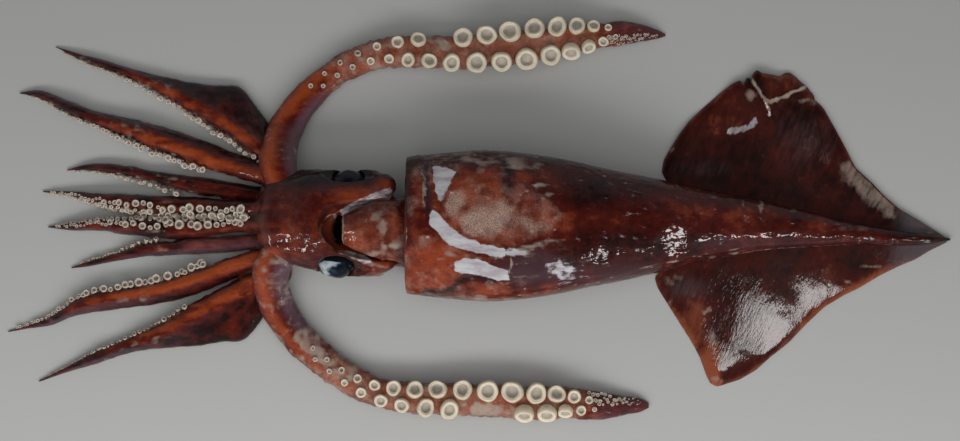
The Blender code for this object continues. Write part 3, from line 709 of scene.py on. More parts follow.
# %% Where each mark lies on the mantle
places, normals = points_of(mantle)
x, y = seen_at(places)
above = eased(normals[:, 2], 0.0, 0.25)
xt, yt = ragged(x, y, places, 1.0, 3.0)
band = into_outline(xt, yt, BARE_BAND) - 2.2 * eased(x, 490, 512) + 0.8 * noise(places, 2.0, 2)
bare = np.maximum(into_outline(xt, yt, BARE_TRIANGLE), band)
bare = np.maximum(bare, into_outline(xt, yt, BARE_STRIP)) * 0.53
worn = np.maximum(spot(xt, yt, (563, 272), (16, 12)), 0.95 * spot(xt, yt, (517, 252), (14, 5)))
bare = np.maximum(bare, 0.9 * worn - 0.62 + 0.45 * noise(places, 3.0, 3))
bare = np.where(above > 0.5, bare, NOT_BARE)
xr, yr = ragged(x, y, places, 3.0, 6.0)
xs, ys = ragged(x, y, places, 5.0, 9.0)
flap = into_outline(xr, yr, FLAP)
scuff = np.maximum(blotches(xs, ys, SCUFFED), 0.35) * eased(flap, -1, 6)
scuff = np.maximum(scuff, (0.16 + 0.4 * noise(places, 6.0, 3)) * (1 - eased(x, 490, 560)))
beige = blotches(xr, yr, PALE_ON_MANTLE)
lines = np.max([strip(x, y, line, 2.0) for line in THREADS], axis=0) * (0.6 + 0.8 * noise(places, 6.0, 2))
warm = 0.42 + 0.2 * (1 - eased(x, 500, 600)) - 0.07 * eased(x, 560, 640) + 0.12 * noise(places, 5.0, 3)
warm += blotches(x, y, WARM_ON_MANTLE, np.sum)
# Darker towards the tail tip, and along the top edge, away from the near lamp: painted shade
warm -= 0.3 * eased(x, 850, 930) + 0.45 * (1 - eased(y, 156, 176))
# The crease and the fold: darker and more violet, as painted shade
warm -= 0.4 * strip(x, y, CREASE, 6) + 0.55 * strip(x, y, CREASE_FOLD, 6)
violet = blotches(x, y, VIOLET_ON_MANTLE, np.sum) + 0.6 * strip(x, y, CREASE, 6)
# Near black in the crease, in the fold and along the upper front rim: painted shade; and a thin dark line
# along the edge of the flap
wide_dark = 0.55 + 0.45 * noise(places, 9.0, 2)
dark = 0.8 * strip(xt, yt, CREASE, 4.5) * wide_dark
dark = np.maximum(dark, 0.55 * strip(xt, yt, FLAP_EDGE, 1.8) * (x < 562))
dark = np.maximum(dark, 0.75 * strip(xt, yt, CREASE_FOLD, 3.5) * wide_dark)
dark = np.maximum(dark, 0.7 * (1 - eased(x, 405, 409)) * (y < 212))
dark = np.maximum(dark, 0.4 * spot(xr, yr, (530, 266), (20, 12)))
print("bare:", int((bare > 0).sum()), "of", len(x), "points; scuffed:", int((scuff > 0.5).sum()))

# %% The relief of the mantle
sunk = np.zeros(len(x))
for (px, py), (w, h), facing in DENTS:
    inside = (1 - eased(np.hypot((x - px) / w, (y - py) / h), 0.75, 1.25)) * above
    bottom = places[np.argmin(np.hypot(x - px, y - py) + 99 * (above < 0.5))]
    facing = np.array(facing) / np.linalg.norm(facing)
    bottom = bottom - facing * DENT_DEPTH * h
    reach = ((bottom - places) @ facing) / np.maximum(normals @ facing, 0.3)
    sunk += inside * reach
wrinkled = noise(places @ [[0.5, 0.2, 0], [-0.2, 1, 0], [0, 0, 1]], 1.7, 2)
push(
    mantle,
    0.55 * noise(places, 45.0, 2)
    + 0.28 * noise(places * [0.5, 1, 1], 9.0, 2)
    + 0.08 * noise(places, 2.2, 2)
    + 0.07 * wrinkled
    - 0.45 * eased(bare, -0.6, 0.4)
    + 0.3 * eased(into_outline(xt, yt, FLAP), -1.0, 3.0) * above
    - 0.9 * strip(x, y, CREASE, 7) * above * (1 - eased(y, 200, 225))
    + 0.5 * (1 - eased(np.abs(x - 416), 2, 10)) * above
    - 0.6 * strip(x, y, CREASE_FOLD, 7) * above
    + 0.3 * lines * above
    + np.clip(sunk, -DEEPEST_DENT, DEEPEST_DENT),
)
store(
    mantle,
    warm=np.where(above > 0.05, warm, 0.4),
    # Sides and underside get a painted grey-violet sheen
    violet=np.maximum(violet * above, 0.55 * (1 - above)),
    pale=np.maximum(beige, 0.75 * lines) * above,
    scuff=scuff * above,
    bare=bare,
    dark=dark * above,
)
mantle.data.materials.append(body_skin)
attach(mantle, "root")
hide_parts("mantle")
print("mantle from", places.min(0).round(1), "to", places.max(0).round(1))

# %% [markdown]
# ## The fins
#
# Each fin is a thin sheet of muscle, nearly 4 mm thick where it joins the tail and 2.4 mm near
# the rim. The outline is drawn point by point, because torn notches and the folded tip are what
# make it this squid. Between root and outline the sheet is a loft whose rings run along the
# top and back along the underside.

# %% The form of the fins
FIN_OUTLINES = {
    "fin_left": [
        (694, 192), (680, 189), (668, 183), (662, 172), (664, 160), (670, 149), (680, 133), (690, 120),
        (705, 106), (720, 93), (732, 84), (740, 80), (743, 84), (747, 77), (751, 81), (753, 73),
        (757, 70), (761, 73), (772, 75), (780, 77), (785, 73), (790, 72), (796, 76), (805, 85),
        (815, 94), (809, 97), (818, 101), (824, 107), (836, 128), (846, 147), (854, 164), (857, 168),
        (872, 182), (885, 196), (900, 209), (920, 221), (940, 233), (949, 239),
    ],
    "fin_right": [
        (672, 256), (662, 268), (655, 278), (658, 288), (668, 304), (680, 323), (692, 342), (700, 357),
        (707, 376), (711, 384), (718, 387), (727, 384), (740, 380), (757, 370), (770, 358), (790, 342),
        (805, 326), (825, 307), (845, 295), (860, 288), (880, 276), (900, 266), (915, 260), (930, 251),
        (948, 242),
    ],
}
FIN_ROOTS = {"fin_left": ((124.0, 0.0), (254.0, -10.4)), "fin_right": ((112.0, -8.0), (254.0, -11.2))}


def fin_rings(name, count=300, steps=64):
    """Rings along a fin, each of which runs out over the top and back along the underside."""
    corners = np.array([on_board(px, py, 2.0) for px, py in FIN_OUTLINES[name]])
    route = along(corners)
    t = np.linspace(0, 1, count)
    edge = np.stack([np.interp(t * route[-1, 0], route[:, 0], route[:, i]) for i in (1, 2)], -1)
    # A straight line between corners is softened by averaging over 3 mm
    for _ in range(2):
        edge[1:-1] = 0.25 * edge[:-2] + 0.5 * edge[1:-1] + 0.25 * edge[2:]
    start, end = (np.array(p) for p in FIN_ROOTS[name])
    root = start + (end - start) * t[:, None]
    v = np.sin(np.linspace(0, math.pi / 2, steps))[None, :, None]
    flat = root[:, None, :] + (edge - root)[:, None, :] * v
    v = v[..., 0]
    body = 0.35 + 0.65 * np.sin(math.pi * np.clip(t, 0.04, 0.97))[:, None] ** 0.5
    thick = (2.4 + 1.4 * (1 - v)) * body * np.sqrt(np.clip(1 - v**24, 0, 1))
    wave = 1.6 if name == "fin_left" else 0.35
    lift = wave * v * v * (1 + np.sin(0.11 * flat[..., 0] + 0.05 * flat[..., 1]))
    lift *= np.sin(math.pi * t)[:, None]
    top = np.concatenate([flat, (lift + thick)[..., None]], -1)
    under = np.concatenate([flat, lift[..., None]], -1)
    return np.concatenate([top, under[:, ::-1]], axis=1)


fins = {name: loft(name + "_skin", fin_rings(name)) for name in FIN_OUTLINES}
for name, fin in fins.items():
    print(name, len(fin.data.polygons), "faces")

# %% [markdown]
# The left fin is deep maroon, with a torn and folded tip, one blue-grey scrape and a clear
# strip along its back edge, and next to the mantle it is darker with painted shadow. The right
# fin has orange rims and a spread of grey blotches.

# %% The marks on the fins
TORN_LINE = [(752, 78), (757, 88), (764, 100), (769, 110)]
FOLD_LINE = [(764, 102), (775, 100), (786, 96), (797, 90), (806, 88)]
SCRAPE = [
    (727, 130), (735, 127), (742, 126), (750, 122), (757, 118), (758, 122), (752, 129), (744, 133),
    (733, 135), (727, 133),
]
CLEAR_STRIP = [(850, 171), (862, 183), (876, 197), (888, 208)]
TORN_PIECE = [(757, 70), (761, 73), (790, 72), (806, 86), (786, 96), (768, 102)]
PALE_ON_FINS = {
    # x, y, half width, half height, strength
    "fin_left": [
        (750, 94, 7, 6, 1.0), (742, 100, 6, 3, 0.6), (803, 101, 13, 3, 1.0), (812, 104, 8, 3, 0.9),
        (812, 140, 12, 14, 0.55), (824, 158, 10, 12, 0.6), (800, 128, 14, 8, 0.3),
        (836, 150, 8, 14, 0.4),
        (772, 74, 10, 2, 0.5), (672, 152, 3, 5, 0.7), (696, 172, 16, 8, 0.25), (930, 231, 8, 3, 0.7),
    ],
    "fin_right": [
        (668, 283, 7, 7, 0.85), (678, 276, 6, 4, 0.7), (706, 311, 6, 5, 0.95), (714, 340, 6, 8, 0.9),
        (720, 328, 3, 5, 0.7), (850, 280, 7, 3, 0.95), (868, 265, 16, 3, 1.0), (716, 380, 8, 6, 0.85),
        (690, 288, 10, 5, 0.35), (672, 305, 3, 10, 0.6), (742, 381, 8, 3, 0.7), (765, 355, 30, 10, 0.35),
        (900, 262, 20, 3, 0.6),
    ],
}
for name, fin in fins.items():
    places, normals = points_of(fin)
    x, y = seen_at(places)
    above = eased(normals[:, 2], -0.1, 0.3)
    rim = to_line(x, y, FIN_OUTLINES[name])
    xr, yr = ragged(x, y, places, 3.5, 7.0)
    pale = 0.85 * blotches(xr, yr, PALE_ON_FINS[name])
    pale = np.maximum(pale, 0.5 * (1 - eased(rim, 0.5, 2.0)))
    if name == "fin_left":
        xt, yt = ragged(x, y, places, 1.8, 3.0)
        tears = np.maximum(1.15 * strip(xt, yt, TORN_LINE, 3.4), 1.25 * strip(xt, yt, FOLD_LINE, 3.6))
        pale = np.maximum(pale, tears)
        pale = np.maximum(pale, 0.8 * strip(xr, yr, CLEAR_STRIP, 18) * eased(rim, 0.5, 2.5))
        bare = np.minimum(0.3 * into_outline(xt, yt, SCRAPE), 0.12)
        torn_piece = into_outline(x, y, TORN_PIECE)
        warm = 0.16 + 0.4 * eased(torn_piece, -2, 6) + 0.25 * (1 - eased(rim, 1, 6))
        warm += 0.25 * spot(x, y, (722, 115), (34, 26)) + 0.3 * spot(x, y, (780, 160), (14, 22))
        violet = 0.9 * eased(x, 880, 915) + 0.4 * spot(x, y, (805, 140), (34, 30))
        violet += 0.35 * spot(x, y, (705, 168), (36, 12))
        # The wide dark blotch at (740, 170), next to the mantle, is painted shadow of the mantle
        dark = 0.8 * spot(x, y, (749, 81), (4, 5)) + 0.3 * spot(x, y, (740, 170), (60, 26))
        dark += 0.7 * strip(xt, yt, [(769, 111), (775, 121)], 2.5)
        dark += 0.4 * (1 - eased(rim, 0.3, 1.6)) * (x > 800)
        relief = 0.5 * strip(x, y, TORN_LINE, 6) + 0.6 * strip(x, y, FOLD_LINE, 6)
        relief += 0.5 * eased(torn_piece, -2, 4)
    else:
        bare = NOT_BARE
        warm = 0.3 + 0.3 * (1 - eased(rim, 1, 8)) + 0.75 * spot(x, y, (712, 368), (10, 22))
        warm += 0.45 * spot(x, y, (695, 318), (12, 26)) + 0.3 * (x > 800) * (1 - eased(rim, 2, 14))
        warm -= 0.15 * spot(x, y, (740, 290), (40, 20))
        violet = 0.5 * spot(x, y, (690, 288), (30, 14)) + 0.95 * eased(x, 868, 912)
        violet += 0.35 * spot(x, y, (775, 330), (40, 36))
        dark = 0.25 * spot(x, y, (720, 300), (30, 20))
        relief = -0.06 * noise(places, 24.0, 2)
    relief = relief + 0.16 * noise(places, 24.0, 2) + 0.02 * noise(places, 5.0, 2)
    push(fin, relief * above)
    store(
        fin, warm=warm, violet=violet * above, pale=pale * above, scuff=0,
        bare=np.where(above > 0.5, bare, NOT_BARE), dark=dark * above,
    )
    fin.data.materials.append(fin_skin)
    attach(fin, "root")
    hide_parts(name)
    print(name, "has marks on", int((pale > 0.4).sum()), "points")

# %% [markdown]
# ## Arms
#
# The eight arms taper to threads. An arm has a rounded core, a row of suckers along its inner
# edge, and on the outer edge of some a keel, a thin swimming flap. On the widest pair it makes
# a triangle. The stations give the sucker edge, the far side of the core and the keel's edge.

# %% The form of the arms
ARMS = {
    # x, y of the sucker edge, y of the far side of the muscle, y of the edge of the keel
    "arm_left_3": [
        (-235.4, 96.0, 96.3, 96.3), (-220.0, 88.3, 91.6, 91.6), (-203.5, 82.2, 86.6, 87.2),
        (-181.5, 72.3, 78.9, 81.1), (-162.0, 60.8, 70.5, 76.2), (-146.0, 50.3, 63.0, 74.0),
        (-132.0, 41.0, 54.7, 72.6), (-122.0, 33.8, 46.5, 61.0), (-113.0, 26.7, 39.0, 47.0),
        (-103.0, 18.0, 30.0, 32.0),
    ],
    "arm_left_2": [
        (-254.7, 70.1, 70.6, 70.7), (-245.0, 67.9, 71.2, 71.8), (-228.3, 59.1, 65.7, 66.3),
        (-209.0, 51.4, 58.6, 59.4), (-187.0, 41.5, 52.5, 54.7), (-165.0, 33.3, 45.4, 48.1),
        (-146.0, 26.7, 38.2, 41.5), (-129.0, 22.0, 32.0, 34.4), (-113.0, 17.5, 28.5, 29.5),
        (-103.0, 15.0, 26.0, 26.5),
    ],
    "arm_left_1": [
        (-227.7, 27.3, 27.8, 27.8), (-217.3, 27.6, 30.5, 30.5), (-203.5, 26.1, 30.8, 30.8),
        (-181.5, 21.2, 27.2, 27.8), (-159.5, 15.1, 23.4, 24.0), (-140.0, 11.4, 20.4, 21.2),
        (-124.0, 8.4, 18.0, 18.4), (-113.0, 7.0, 17.0, 17.2), (-103.0, 6.0, 16.0, 16.0),
    ],
    "arm_left_4": [
        (-240.9, 15.4, 16.0, 16.0), (-225.5, 12.9, 15.7, 15.7), (-209.0, 8.0, 14.9, 14.9),
        (-187.0, 4.1, 13.3, 13.6), (-165.0, 1.9, 12.5, 12.8), (-143.0, 1.4, 10.8, 11.0),
        (-127.0, 1.2, 9.4, 9.6), (-115.0, 1.0, 8.8, 8.8), (-103.0, 1.0, 9.0, 9.0),
    ],
    "arm_right_4": [
        (-237.6, -3.6, -4.2, -4.2), (-225.5, -1.9, -5.8, -5.8), (-209.0, 0.2, -6.4, -6.4),
        (-187.0, 0.5, -8.6, -9.0), (-165.0, 0.4, -10.4, -10.8), (-146.0, 0.2, -8.8, -9.0),
        (-129.0, 0.0, -7.4, -7.6), (-115.0, 0.0, -8.2, -8.2), (-103.0, 0.0, -8.4, -8.4),
    ],
    "arm_right_1": [
        (-224.4, -26.1, -26.7, -26.7), (-214.5, -22.8, -25.6, -25.6), (-200.8, -19.0, -22.8, -22.8),
        (-184.3, -13.5, -20.1, -20.4), (-165.0, -11.4, -19.2, -19.6), (-148.5, -9.6, -18.0, -18.4),
        (-132.0, -8.4, -17.0, -17.2), (-115.5, -7.4, -16.6, -16.6), (-103.0, -6.6, -16.0, -16.0),
    ],
    "arm_right_2": [
        (-258.5, -61.0, -61.6, -61.6), (-247.5, -58.0, -59.7, -59.7), (-233.8, -52.5, -56.9, -57.5),
        (-220.0, -43.7, -51.4, -52.5), (-209.0, -39.9, -48.7, -50.9), (-198.0, -38.4, -46.5, -49.2),
        (-181.5, -35.6, -43.6, -47.0), (-165.0, -31.2, -40.4, -43.7), (-148.5, -25.4, -34.6, -38.2),
        (-132.0, -19.5, -29.4, -31.6), (-115.5, -16.0, -26.6, -27.2), (-103.0, -14.0, -24.5, -25.0),
    ],
    "arm_right_3": [
        (-240.9, -87.9, -88.7, -88.8), (-228.3, -81.7, -84.4, -84.4), (-209.0, -71.8, -77.8, -78.9),
        (-192.5, -65.2, -71.6, -73.4), (-173.3, -55.8, -67.0, -70.7), (-154.0, -44.3, -58.6, -69.0),
        (-140.3, -37.1, -51.4, -66.8), (-129.0, -31.1, -45.4, -65.4), (-120.0, -26.1, -40.4, -56.0),
        (-113.0, -22.8, -35.5, -43.7), (-103.0, -18.0, -29.5, -31.0),
    ],
}
# Thickness at its thickest, and how far the root is lifted off the board
ARM_BUILD = {
    "arm_left_3": (12.0, 0.0), "arm_left_2": (12.0, 3.0), "arm_left_1": (8.5, 0.0),
    "arm_left_4": (8.0, 15.0), "arm_right_4": (8.0, 15.0), "arm_right_1": (8.5, 0.0),
    "arm_right_2": (11.0, 3.0), "arm_right_3": (12.0, 0.0),
}


def arm_section(name, x, angle, grow=0.0):
    """Points of an arm at places x and angles round it, 180 degrees being the sucker edge."""
    sucker_edge, core_edge, keel_edge = smooth(ARMS[name], x).T
    thickness, lift = ARM_BUILD[name]
    tip, root = ARMS[name][0][0], ARMS[name][-1][0]
    half_width = np.abs(core_edge - sucker_edge) / 2
    half_height = np.minimum(thickness, 1.7 * half_width + 0.6) / 2
    raised = lift * eased(x, tip + 0.55 * (root - tip), root)
    side = np.sign(core_edge - sucker_edge)
    c, s = np.cos(angle), np.sin(angle)
    blade = np.maximum(c, 0.0) ** 7
    keel = np.abs(keel_edge - core_edge)
    droop = np.where(keel > 0.01, np.maximum(half_height - 1.4, 0) * blade * 0.6, 0.0)
    y = (core_edge + sucker_edge) / 2 + side * ((half_width + grow) * c + keel * blade)
    z = half_height * 0.94 + raised + (half_height + grow) * s - droop
    return np.stack([np.broadcast_to(x, y.shape), y, np.maximum(z, 0.0)], -1)


def arm_rings(name, count=190, sides=44, start=0.0, grow=None):
    """The rings of an arm from its tip, or from a share of its length, to its root. Grow says
    how much thicker it is made at each share of its length."""
    tip, root = ARMS[name][0][0], ARMS[name][-1][0]
    share = np.linspace(start, 1, count)
    x = tip + (root - tip) * share**1.05
    angle = np.linspace(0, TAU, sides, endpoint=False)
    extra = np.zeros(count) if grow is None else np.interp(share, *zip(*grow))
    return np.array([arm_section(name, np.full(sides, x[i]), angle, extra[i]) for i in range(count)])


arms = {name: loft(name + "_skin", arm_rings(name)) for name in ARMS}
print("arms:", sum(len(arm.data.polygons) for arm in arms.values()), "faces")

# %% [markdown]
# An arm is brightest along the middle of its back. Towards the keel it turns maroon, the
# sucker side is paler, and the outermost third is speckled and dull. Where the two middle arms
# meet, painted shade darkens their sucker edges.

# %% The colours of the arms
ARM_WARMTH = {
    "arm_left_3": 0.65, "arm_left_2": 0.7, "arm_left_1": 0.2, "arm_left_4": 0.3,
    "arm_right_4": 0.35, "arm_right_1": 0.5, "arm_right_2": 1.25, "arm_right_3": 0.65,
}


def arm_tones(name, places):
    """How far along and across an arm points lie, and how warm, violet and dark they are."""
    tip, root = ARMS[name][0][0], ARMS[name][-1][0]
    share = np.clip((places[:, 0] - tip) / (root - tip), 0, 1)
    sucker_edge, core_edge, keel_edge = smooth(ARMS[name], places[:, 0]).T
    width = np.maximum(np.abs(keel_edge - sucker_edge), 0.5)
    across = (places[:, 1] - sucker_edge) * np.sign(core_edge - sucker_edge) / width
    core = np.abs(core_edge - sucker_edge) / width
    band = np.exp(-(((across - 0.45 * core) / (0.38 * core)) ** 2))
    warm = ARM_WARMTH[name] * band * eased(share, 0.1, 0.6) + 0.15
    violet = 0.45 * eased(across, 0.6 * core, core) * (1 - eased(share, 0.4, 0.8))
    violet += 0.35 * (1 - eased(share, 0.15, 0.5))
    dark = 0.42 * eased(across, core * 0.75, 0.95)
    if name == "arm_right_1":
        violet = violet + 0.6 * eased(share, 0.3, 0.6)
    # Where the two middle arms lie against each other, their sucker edges are darkened: painted shade
    if name in ("arm_left_4", "arm_right_4"):
        dark = dark + 0.5 * (1 - eased(across, 0.25, 0.6)) * eased(share, 0.2, 0.5)
    return share, across, core, warm, violet, dark


for name, arm in arms.items():
    places, normals = points_of(arm)
    share, across, core, warm, violet, dark = arm_tones(name, places)
    warm = warm + 0.28 * noise(places * [0.3, 1, 1], 2.6, 2)
    web = 1 - eased(across, 0.0, 0.2 * core)
    specks = noise(places, 4.0, 3)
    pale = 0.5 * specks * (1 - eased(share, 0.35, 0.8)) + 0.55 * web * (0.6 + specks) + 0.1
    pale += 0.45 * spot(across, share, (0.62, 0.45), (0.16, 0.08))
    pale += 0.3 * (1 - eased(normals[:, 2], -0.6, 0))
    if name == "arm_right_3":
        dark = dark - 0.3 * eased(across, core, core + 0.2)
    push(
        arm,
        (0.55 * noise(places * [0.6, 1, 1], 9.0, 2) + 0.22 * noise(places * [0.6, 1, 1], 2.4, 2))
        * eased(share, 0.0, 0.3)
        + 0.5 * web * noise(places, 3.2, 2) * eased(share, 0.05, 0.3),
    )
    store(arm, warm=warm, violet=violet, pale=pale, scuff=0, bare=NOT_BARE, dark=dark)
    arm.data.materials.append(limb_skin)
    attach(arm, "root")
    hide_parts(name)
print("arms coloured:", len(arms))

# %% [markdown]
# ## The feeding tentacles
#
# The two tentacles are longer than the arms and swing round beside the mantle. Each is a
# flattened stalk that widens into a club with two rows of large suckers, then narrows to a
# fingertip with small ones. Its stations run along a line in the plane of the board, from the
# root to the tip, with the width at each.

# %% The form of the tentacles
TENTACLES = {
    # x, y, width
    "tentacle_left": [
        (-100.0, 12.0, 16.0), (-106.5, 20.0, 18.5), (-109.5, 30.5, 20.5), (-108.4, 44.3, 20.0),
        (-101.2, 59.7, 18.0), (-89.7, 72.9, 16.0), (-74.3, 84.4, 15.5), (-55.0, 91.4, 16.5),
        (-33.0, 92.8, 17.0), (-8.3, 92.6, 18.5), (11.0, 94.2, 19.0), (33.0, 97.2, 17.5),
        (55.0, 100.3, 14.5), (71.5, 102.6, 13.5), (80.0, 103.7, 12.8), (88.0, 104.0, 10.5),
        (95.5, 103.4, 7.0), (99.5, 103.0, 4.5), (103.0, 102.7, 1.6),
    ],
    "tentacle_right": [
        (-99.0, -12.0, 16.0), (-107.0, -18.5, 18.5), (-112.8, -28.0, 20.0), (-112.2, -42.0, 19.5),
        (-105.6, -55.8, 18.5), (-95.7, -67.9, 18.0), (-84.2, -77.8, 17.0), (-71.5, -87.0, 16.5),
        (-57.8, -93.4, 16.0), (-38.5, -97.0, 16.5), (-16.5, -97.8, 17.0), (5.5, -99.0, 17.5),
        (27.5, -99.9, 17.5), (49.5, -100.0, 16.5), (66.0, -101.5, 14.5), (80.0, -101.5, 10.0),
        (88.0, -101.5, 7.0), (92.0, -101.5, 3.0),
    ],
}
ROOT_LIFT = 13.0
ROOT_LIFT_RUN = 50.0
TENTACLE_FLATNESS = 0.58


def tentacle_frame(name, place):
    """Where a tentacle is at a distance from its root: its centre, directions and half sizes."""
    route = along(TENTACLES[name])
    before, here, after = smooth(route, [place - 0.5, place, place + 0.5])
    forward = np.array([after[0] - before[0], after[1] - before[1]])
    forward = forward / np.hypot(*forward)
    left = np.array([-forward[1], forward[0]])
    half_width = here[2] / 2
    lift = ROOT_LIFT * (1 - eased(place, 8.0, ROOT_LIFT_RUN))
    return here[:2], left, half_width, half_width * TENTACLE_FLATNESS, float(lift)


def tentacle_rings(name, count=330, sides=56):
    """The rings of a tentacle, from its root to its tip."""
    length = along(TENTACLES[name])[-1, 0]
    angle = np.linspace(0, TAU, sides, endpoint=False)
    c, s = np.cos(angle), np.sin(angle)
    rings = []
    for place in np.linspace(0, length, count):
        centre, left, half_width, half_height, lift = tentacle_frame(name, place)
        flat = centre + left * (half_width * np.sign(c) * np.abs(c) ** SQUARENESS)[:, None]
        z = np.maximum(half_height * (0.94 + s) + lift, 0.0)
        rings.append(np.column_stack([flat, z]))
    return np.array(rings)


tentacles = {name: loft(name + "_skin", tentacle_rings(name)) for name in TENTACLES}
print("tentacles:", {n: round(float(along(TENTACLES[n])[-1, 0])) for n in TENTACLES}, "mm long")

# %% The colours of the tentacles
RUBBED = {
    # a line in the picture, how far from it the rubbing starts to fade and ends, and how strong
    "tentacle_left": [([(441, 41), (445, 47)], 2, 7, 1.1)],
    "tentacle_right": [
        ([(302, 338), (322, 358), (350, 374)], 3, 11, 0.7), ([(476, 408), (518, 411)], 3, 9, 0.8),
    ],
}
# How far from the tip, in millimetres, the fingertip turns into the club and that into the stalk
FINGERTIP_END = (20, 45)
CLUB_END = (170, 215)
for name, tentacle in tentacles.items():
    places, normals = points_of(tentacle)
    route = along(TENTACLES[name])
    length = route[-1, 0]
    line = np.array([smooth(route, [s])[0][:2] for s in np.linspace(0, length, 400)])
    near = np.argmin(((places[:, None, :2] - line[None]) ** 2).sum(-1), axis=1)
    s = near / 399 * length
    step = np.gradient(line, axis=0)
    step /= np.hypot(*step.T)[:, None]
    side = (places[:, :2] - line[near]) @ np.array([[0, 1], [-1, 0]])
    across = (side * step[near]).sum(-1) / smooth(route, s)[:, 2] * -2
    if name == "tentacle_right":
        across = -across
    x, y = seen_at(places)
    from_tip = length - s
    stalk = eased(from_tip, *CLUB_END)
    # across is 1 on the outside of the bend and -1 on the inside
    warm = 0.42 + 0.6 * np.exp(-(((across - 0.45) / 0.4) ** 2)) * stalk
    violet = 0.95 * eased(-across, -0.1, 0.8) * stalk + 0.5 * (1 - eased(from_tip, 25, 45))
    club = (1 - stalk) * eased(from_tip, *FINGERTIP_END)
    pale = 0.6 * noise(places, 4.0, 3) + 0.36 * club
    warm += 0.5 * club * (1 - 0.6 * eased(np.abs(across), 0.6, 0.95))
    if name == "tentacle_right":
        violet += 0.3 * stalk
        pale += 0.42 * stalk
    for line_seen, start, end, strength in RUBBED[name]:
        pale += strength * (1 - eased(to_line(x, y, line_seen), start, end))
    push(
        tentacle,
        0.4 * noise(places, 11.0, 2)
        + 0.14 * noise(places, 3.0, 2)
        + 0.7 * noise(places * [1.5, 0.8, 1], 4.5, 2) * club
        + 0.3 * noise(places, 1.9, 2) * club,
    )
    store(tentacle, warm=warm, violet=violet, pale=pale, scuff=0.5 * club, bare=NOT_BARE, dark=0)
    tentacle.data.materials.append(limb_skin)
    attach(tentacle, "root")
    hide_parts(name)
    print(name, "from", places.min(0).round(1), "to", places.max(0).round(1))

# %% [markdown]
# ## The head
#
# Head and arm roots are one piece of flesh, so the head is made as a sculptor would make it:
# an egg for the skull, with a sleeve round the start of each arm, is melted together with a
# voxel remesh. Then the open groove that the siphon lies in, the sockets of the eyes and the
# hollows under their lids are scooped out, and a second remesh turns every hard edge into a
# soft fold. The sleeves thin out to nothing, so no step shows where an arm leaves its sleeve.

# %% The form of the head
HEAD = [
    # x, centre y, half width, height, z of its underside
    (-121.0, 0.0, 14.0, 18.0, 0.0),
    (-116.0, 0.0, 20.5, 25.0, 0.0),
    (-107.0, -0.2, 24.5, 29.0, 0.0),
    (-97.0, -0.5, 26.5, 33.0, 0.0),
    (-88.0, -1.2, 27.6, 36.0, 0.0),
    (-77.0, -3.2, 29.0, 38.0, 0.0),
    (-69.0, -3.2, 28.4, 38.5, 0.0),
    (-60.0, -3.2, 28.6, 38.5, 0.0),
    (-52.5, -4.0, 26.5, 36.0, 0.6),
    (-47.5, -7.0, 19.8, 31.0, 3.5),
    (-41.0, -7.3, 19.4, 30.0, 5.4),
    (-35.0, -6.0, 24.5, 31.5, 6.5),
    (-30.0, -5.0, 27.0, 32.0, 7.0),
]
FUNNEL = [
    # x, centre y, half width, top z, half height
    (-73.0, -7.2, 7.6, 35.5, 4.6),
    (-66.0, -7.4, 11.2, 38.2, 6.8),
    (-57.0, -7.6, 14.4, 39.2, 8.6),
    (-47.0, -7.6, 16.4, 37.5, 9.2),
    (-31.0, -7.4, 17.4, 33.4, 8.6),
]
GROOVE = [
    # x, centre y, half width, floor z
    (-85.5, -4.8, 2.6, 31.0),
    (-83.5, -5.2, 7.8, 28.5),
    (-79.0, -6.0, 12.0, 26.0),
    (-72.0, -6.8, 15.0, 23.5),
    (-60.0, -7.2, 17.6, 20.5),
    (-50.0, -7.4, 18.8, 18.0),
    (-20.0, -7.4, 19.4, 14.0),
]
EYES = {"eye_left": (-70.5, 17.6, 20.0), "eye_right": (-77.5, -24.6, 20.0)}
EYE_RADIUS = 10.0
# The hollows under the open lids: centre, and half sizes
LIDS = {
    "eye_left": ((-70.0, 25.5, 31.0), (16.0, 8.0, 10.5)),
    "eye_right": ((-76.0, -31.5, 31.0), (15.0, 10.0, 13.0)),
}
# The eye sockets are about this much larger than the eyes, along each axis
SOCKET = (1.05, 0.9, 1.02)
# The dark pit in front of the siphon's mouth: centre, and half sizes
PIT = ((-75.0, -6.8, 27.0), (4.4, 8.4, 12.0))
# The rounded corners of the head beside the neck: centre, and half sizes
CORNERS = [((-52.5, 16.5, 25.0), (7.8, 6.5, 6.5)), ((-54.5, -24.5, 23.0), (9.75, 5.525, 6.5))]
# The sleeve round the start of an arm: how far along the arm, and how much thicker than it
SLEEVE = [(0.0, -0.6), (0.72, -0.6), (0.80, -0.15), (0.92, 0.5), (1.0, 1.0)]
# The shape that cuts the groove ends at this height, well above the head
ABOVE_HEAD = 46.0
print("the groove is", GROOVE[-1][0] - GROOVE[0][0], "mm long")


# %% Tools that join, cut and melt shapes
def groove_rings(count=40, sides=40):
    """The shape that scoops out the groove: open above the head, and round at the bottom."""
    x = np.linspace(GROOVE[0][0], GROOVE[-1][0], count)
    centre, half_width, floor = (v[:, None] for v in smooth(GROOVE, x).T)
    angle = np.linspace(0, TAU, sides, endpoint=False)[None, :]
    c, s = np.cos(angle), np.sin(angle)
    y = centre + half_width * c * (1 - 0.08 * (1 + s))
    bowl = floor + (ABOVE_HEAD - floor) * (1 + np.minimum(s, 0)) * 0.55
    z = np.where(s > 0.2, ABOVE_HEAD + 1.5 * s, bowl)
    return rings_of(x, y, z)


def ball(name, centre, half_sizes, segments=40):
    """A ball, squashed to its half sizes along each axis."""
    bm = bmesh.new()
    bmesh.ops.create_uvsphere(bm, u_segments=segments, v_segments=segments // 2, radius=1.0)
    for vert in bm.verts:
        vert.co = [(middle + part * half) * MM for middle, part, half in zip(centre, vert.co, half_sizes)]
    mesh = bpy.data.meshes.new(name)
    bm.to_mesh(mesh)
    bm.free()
    return finish_mesh(name, mesh)


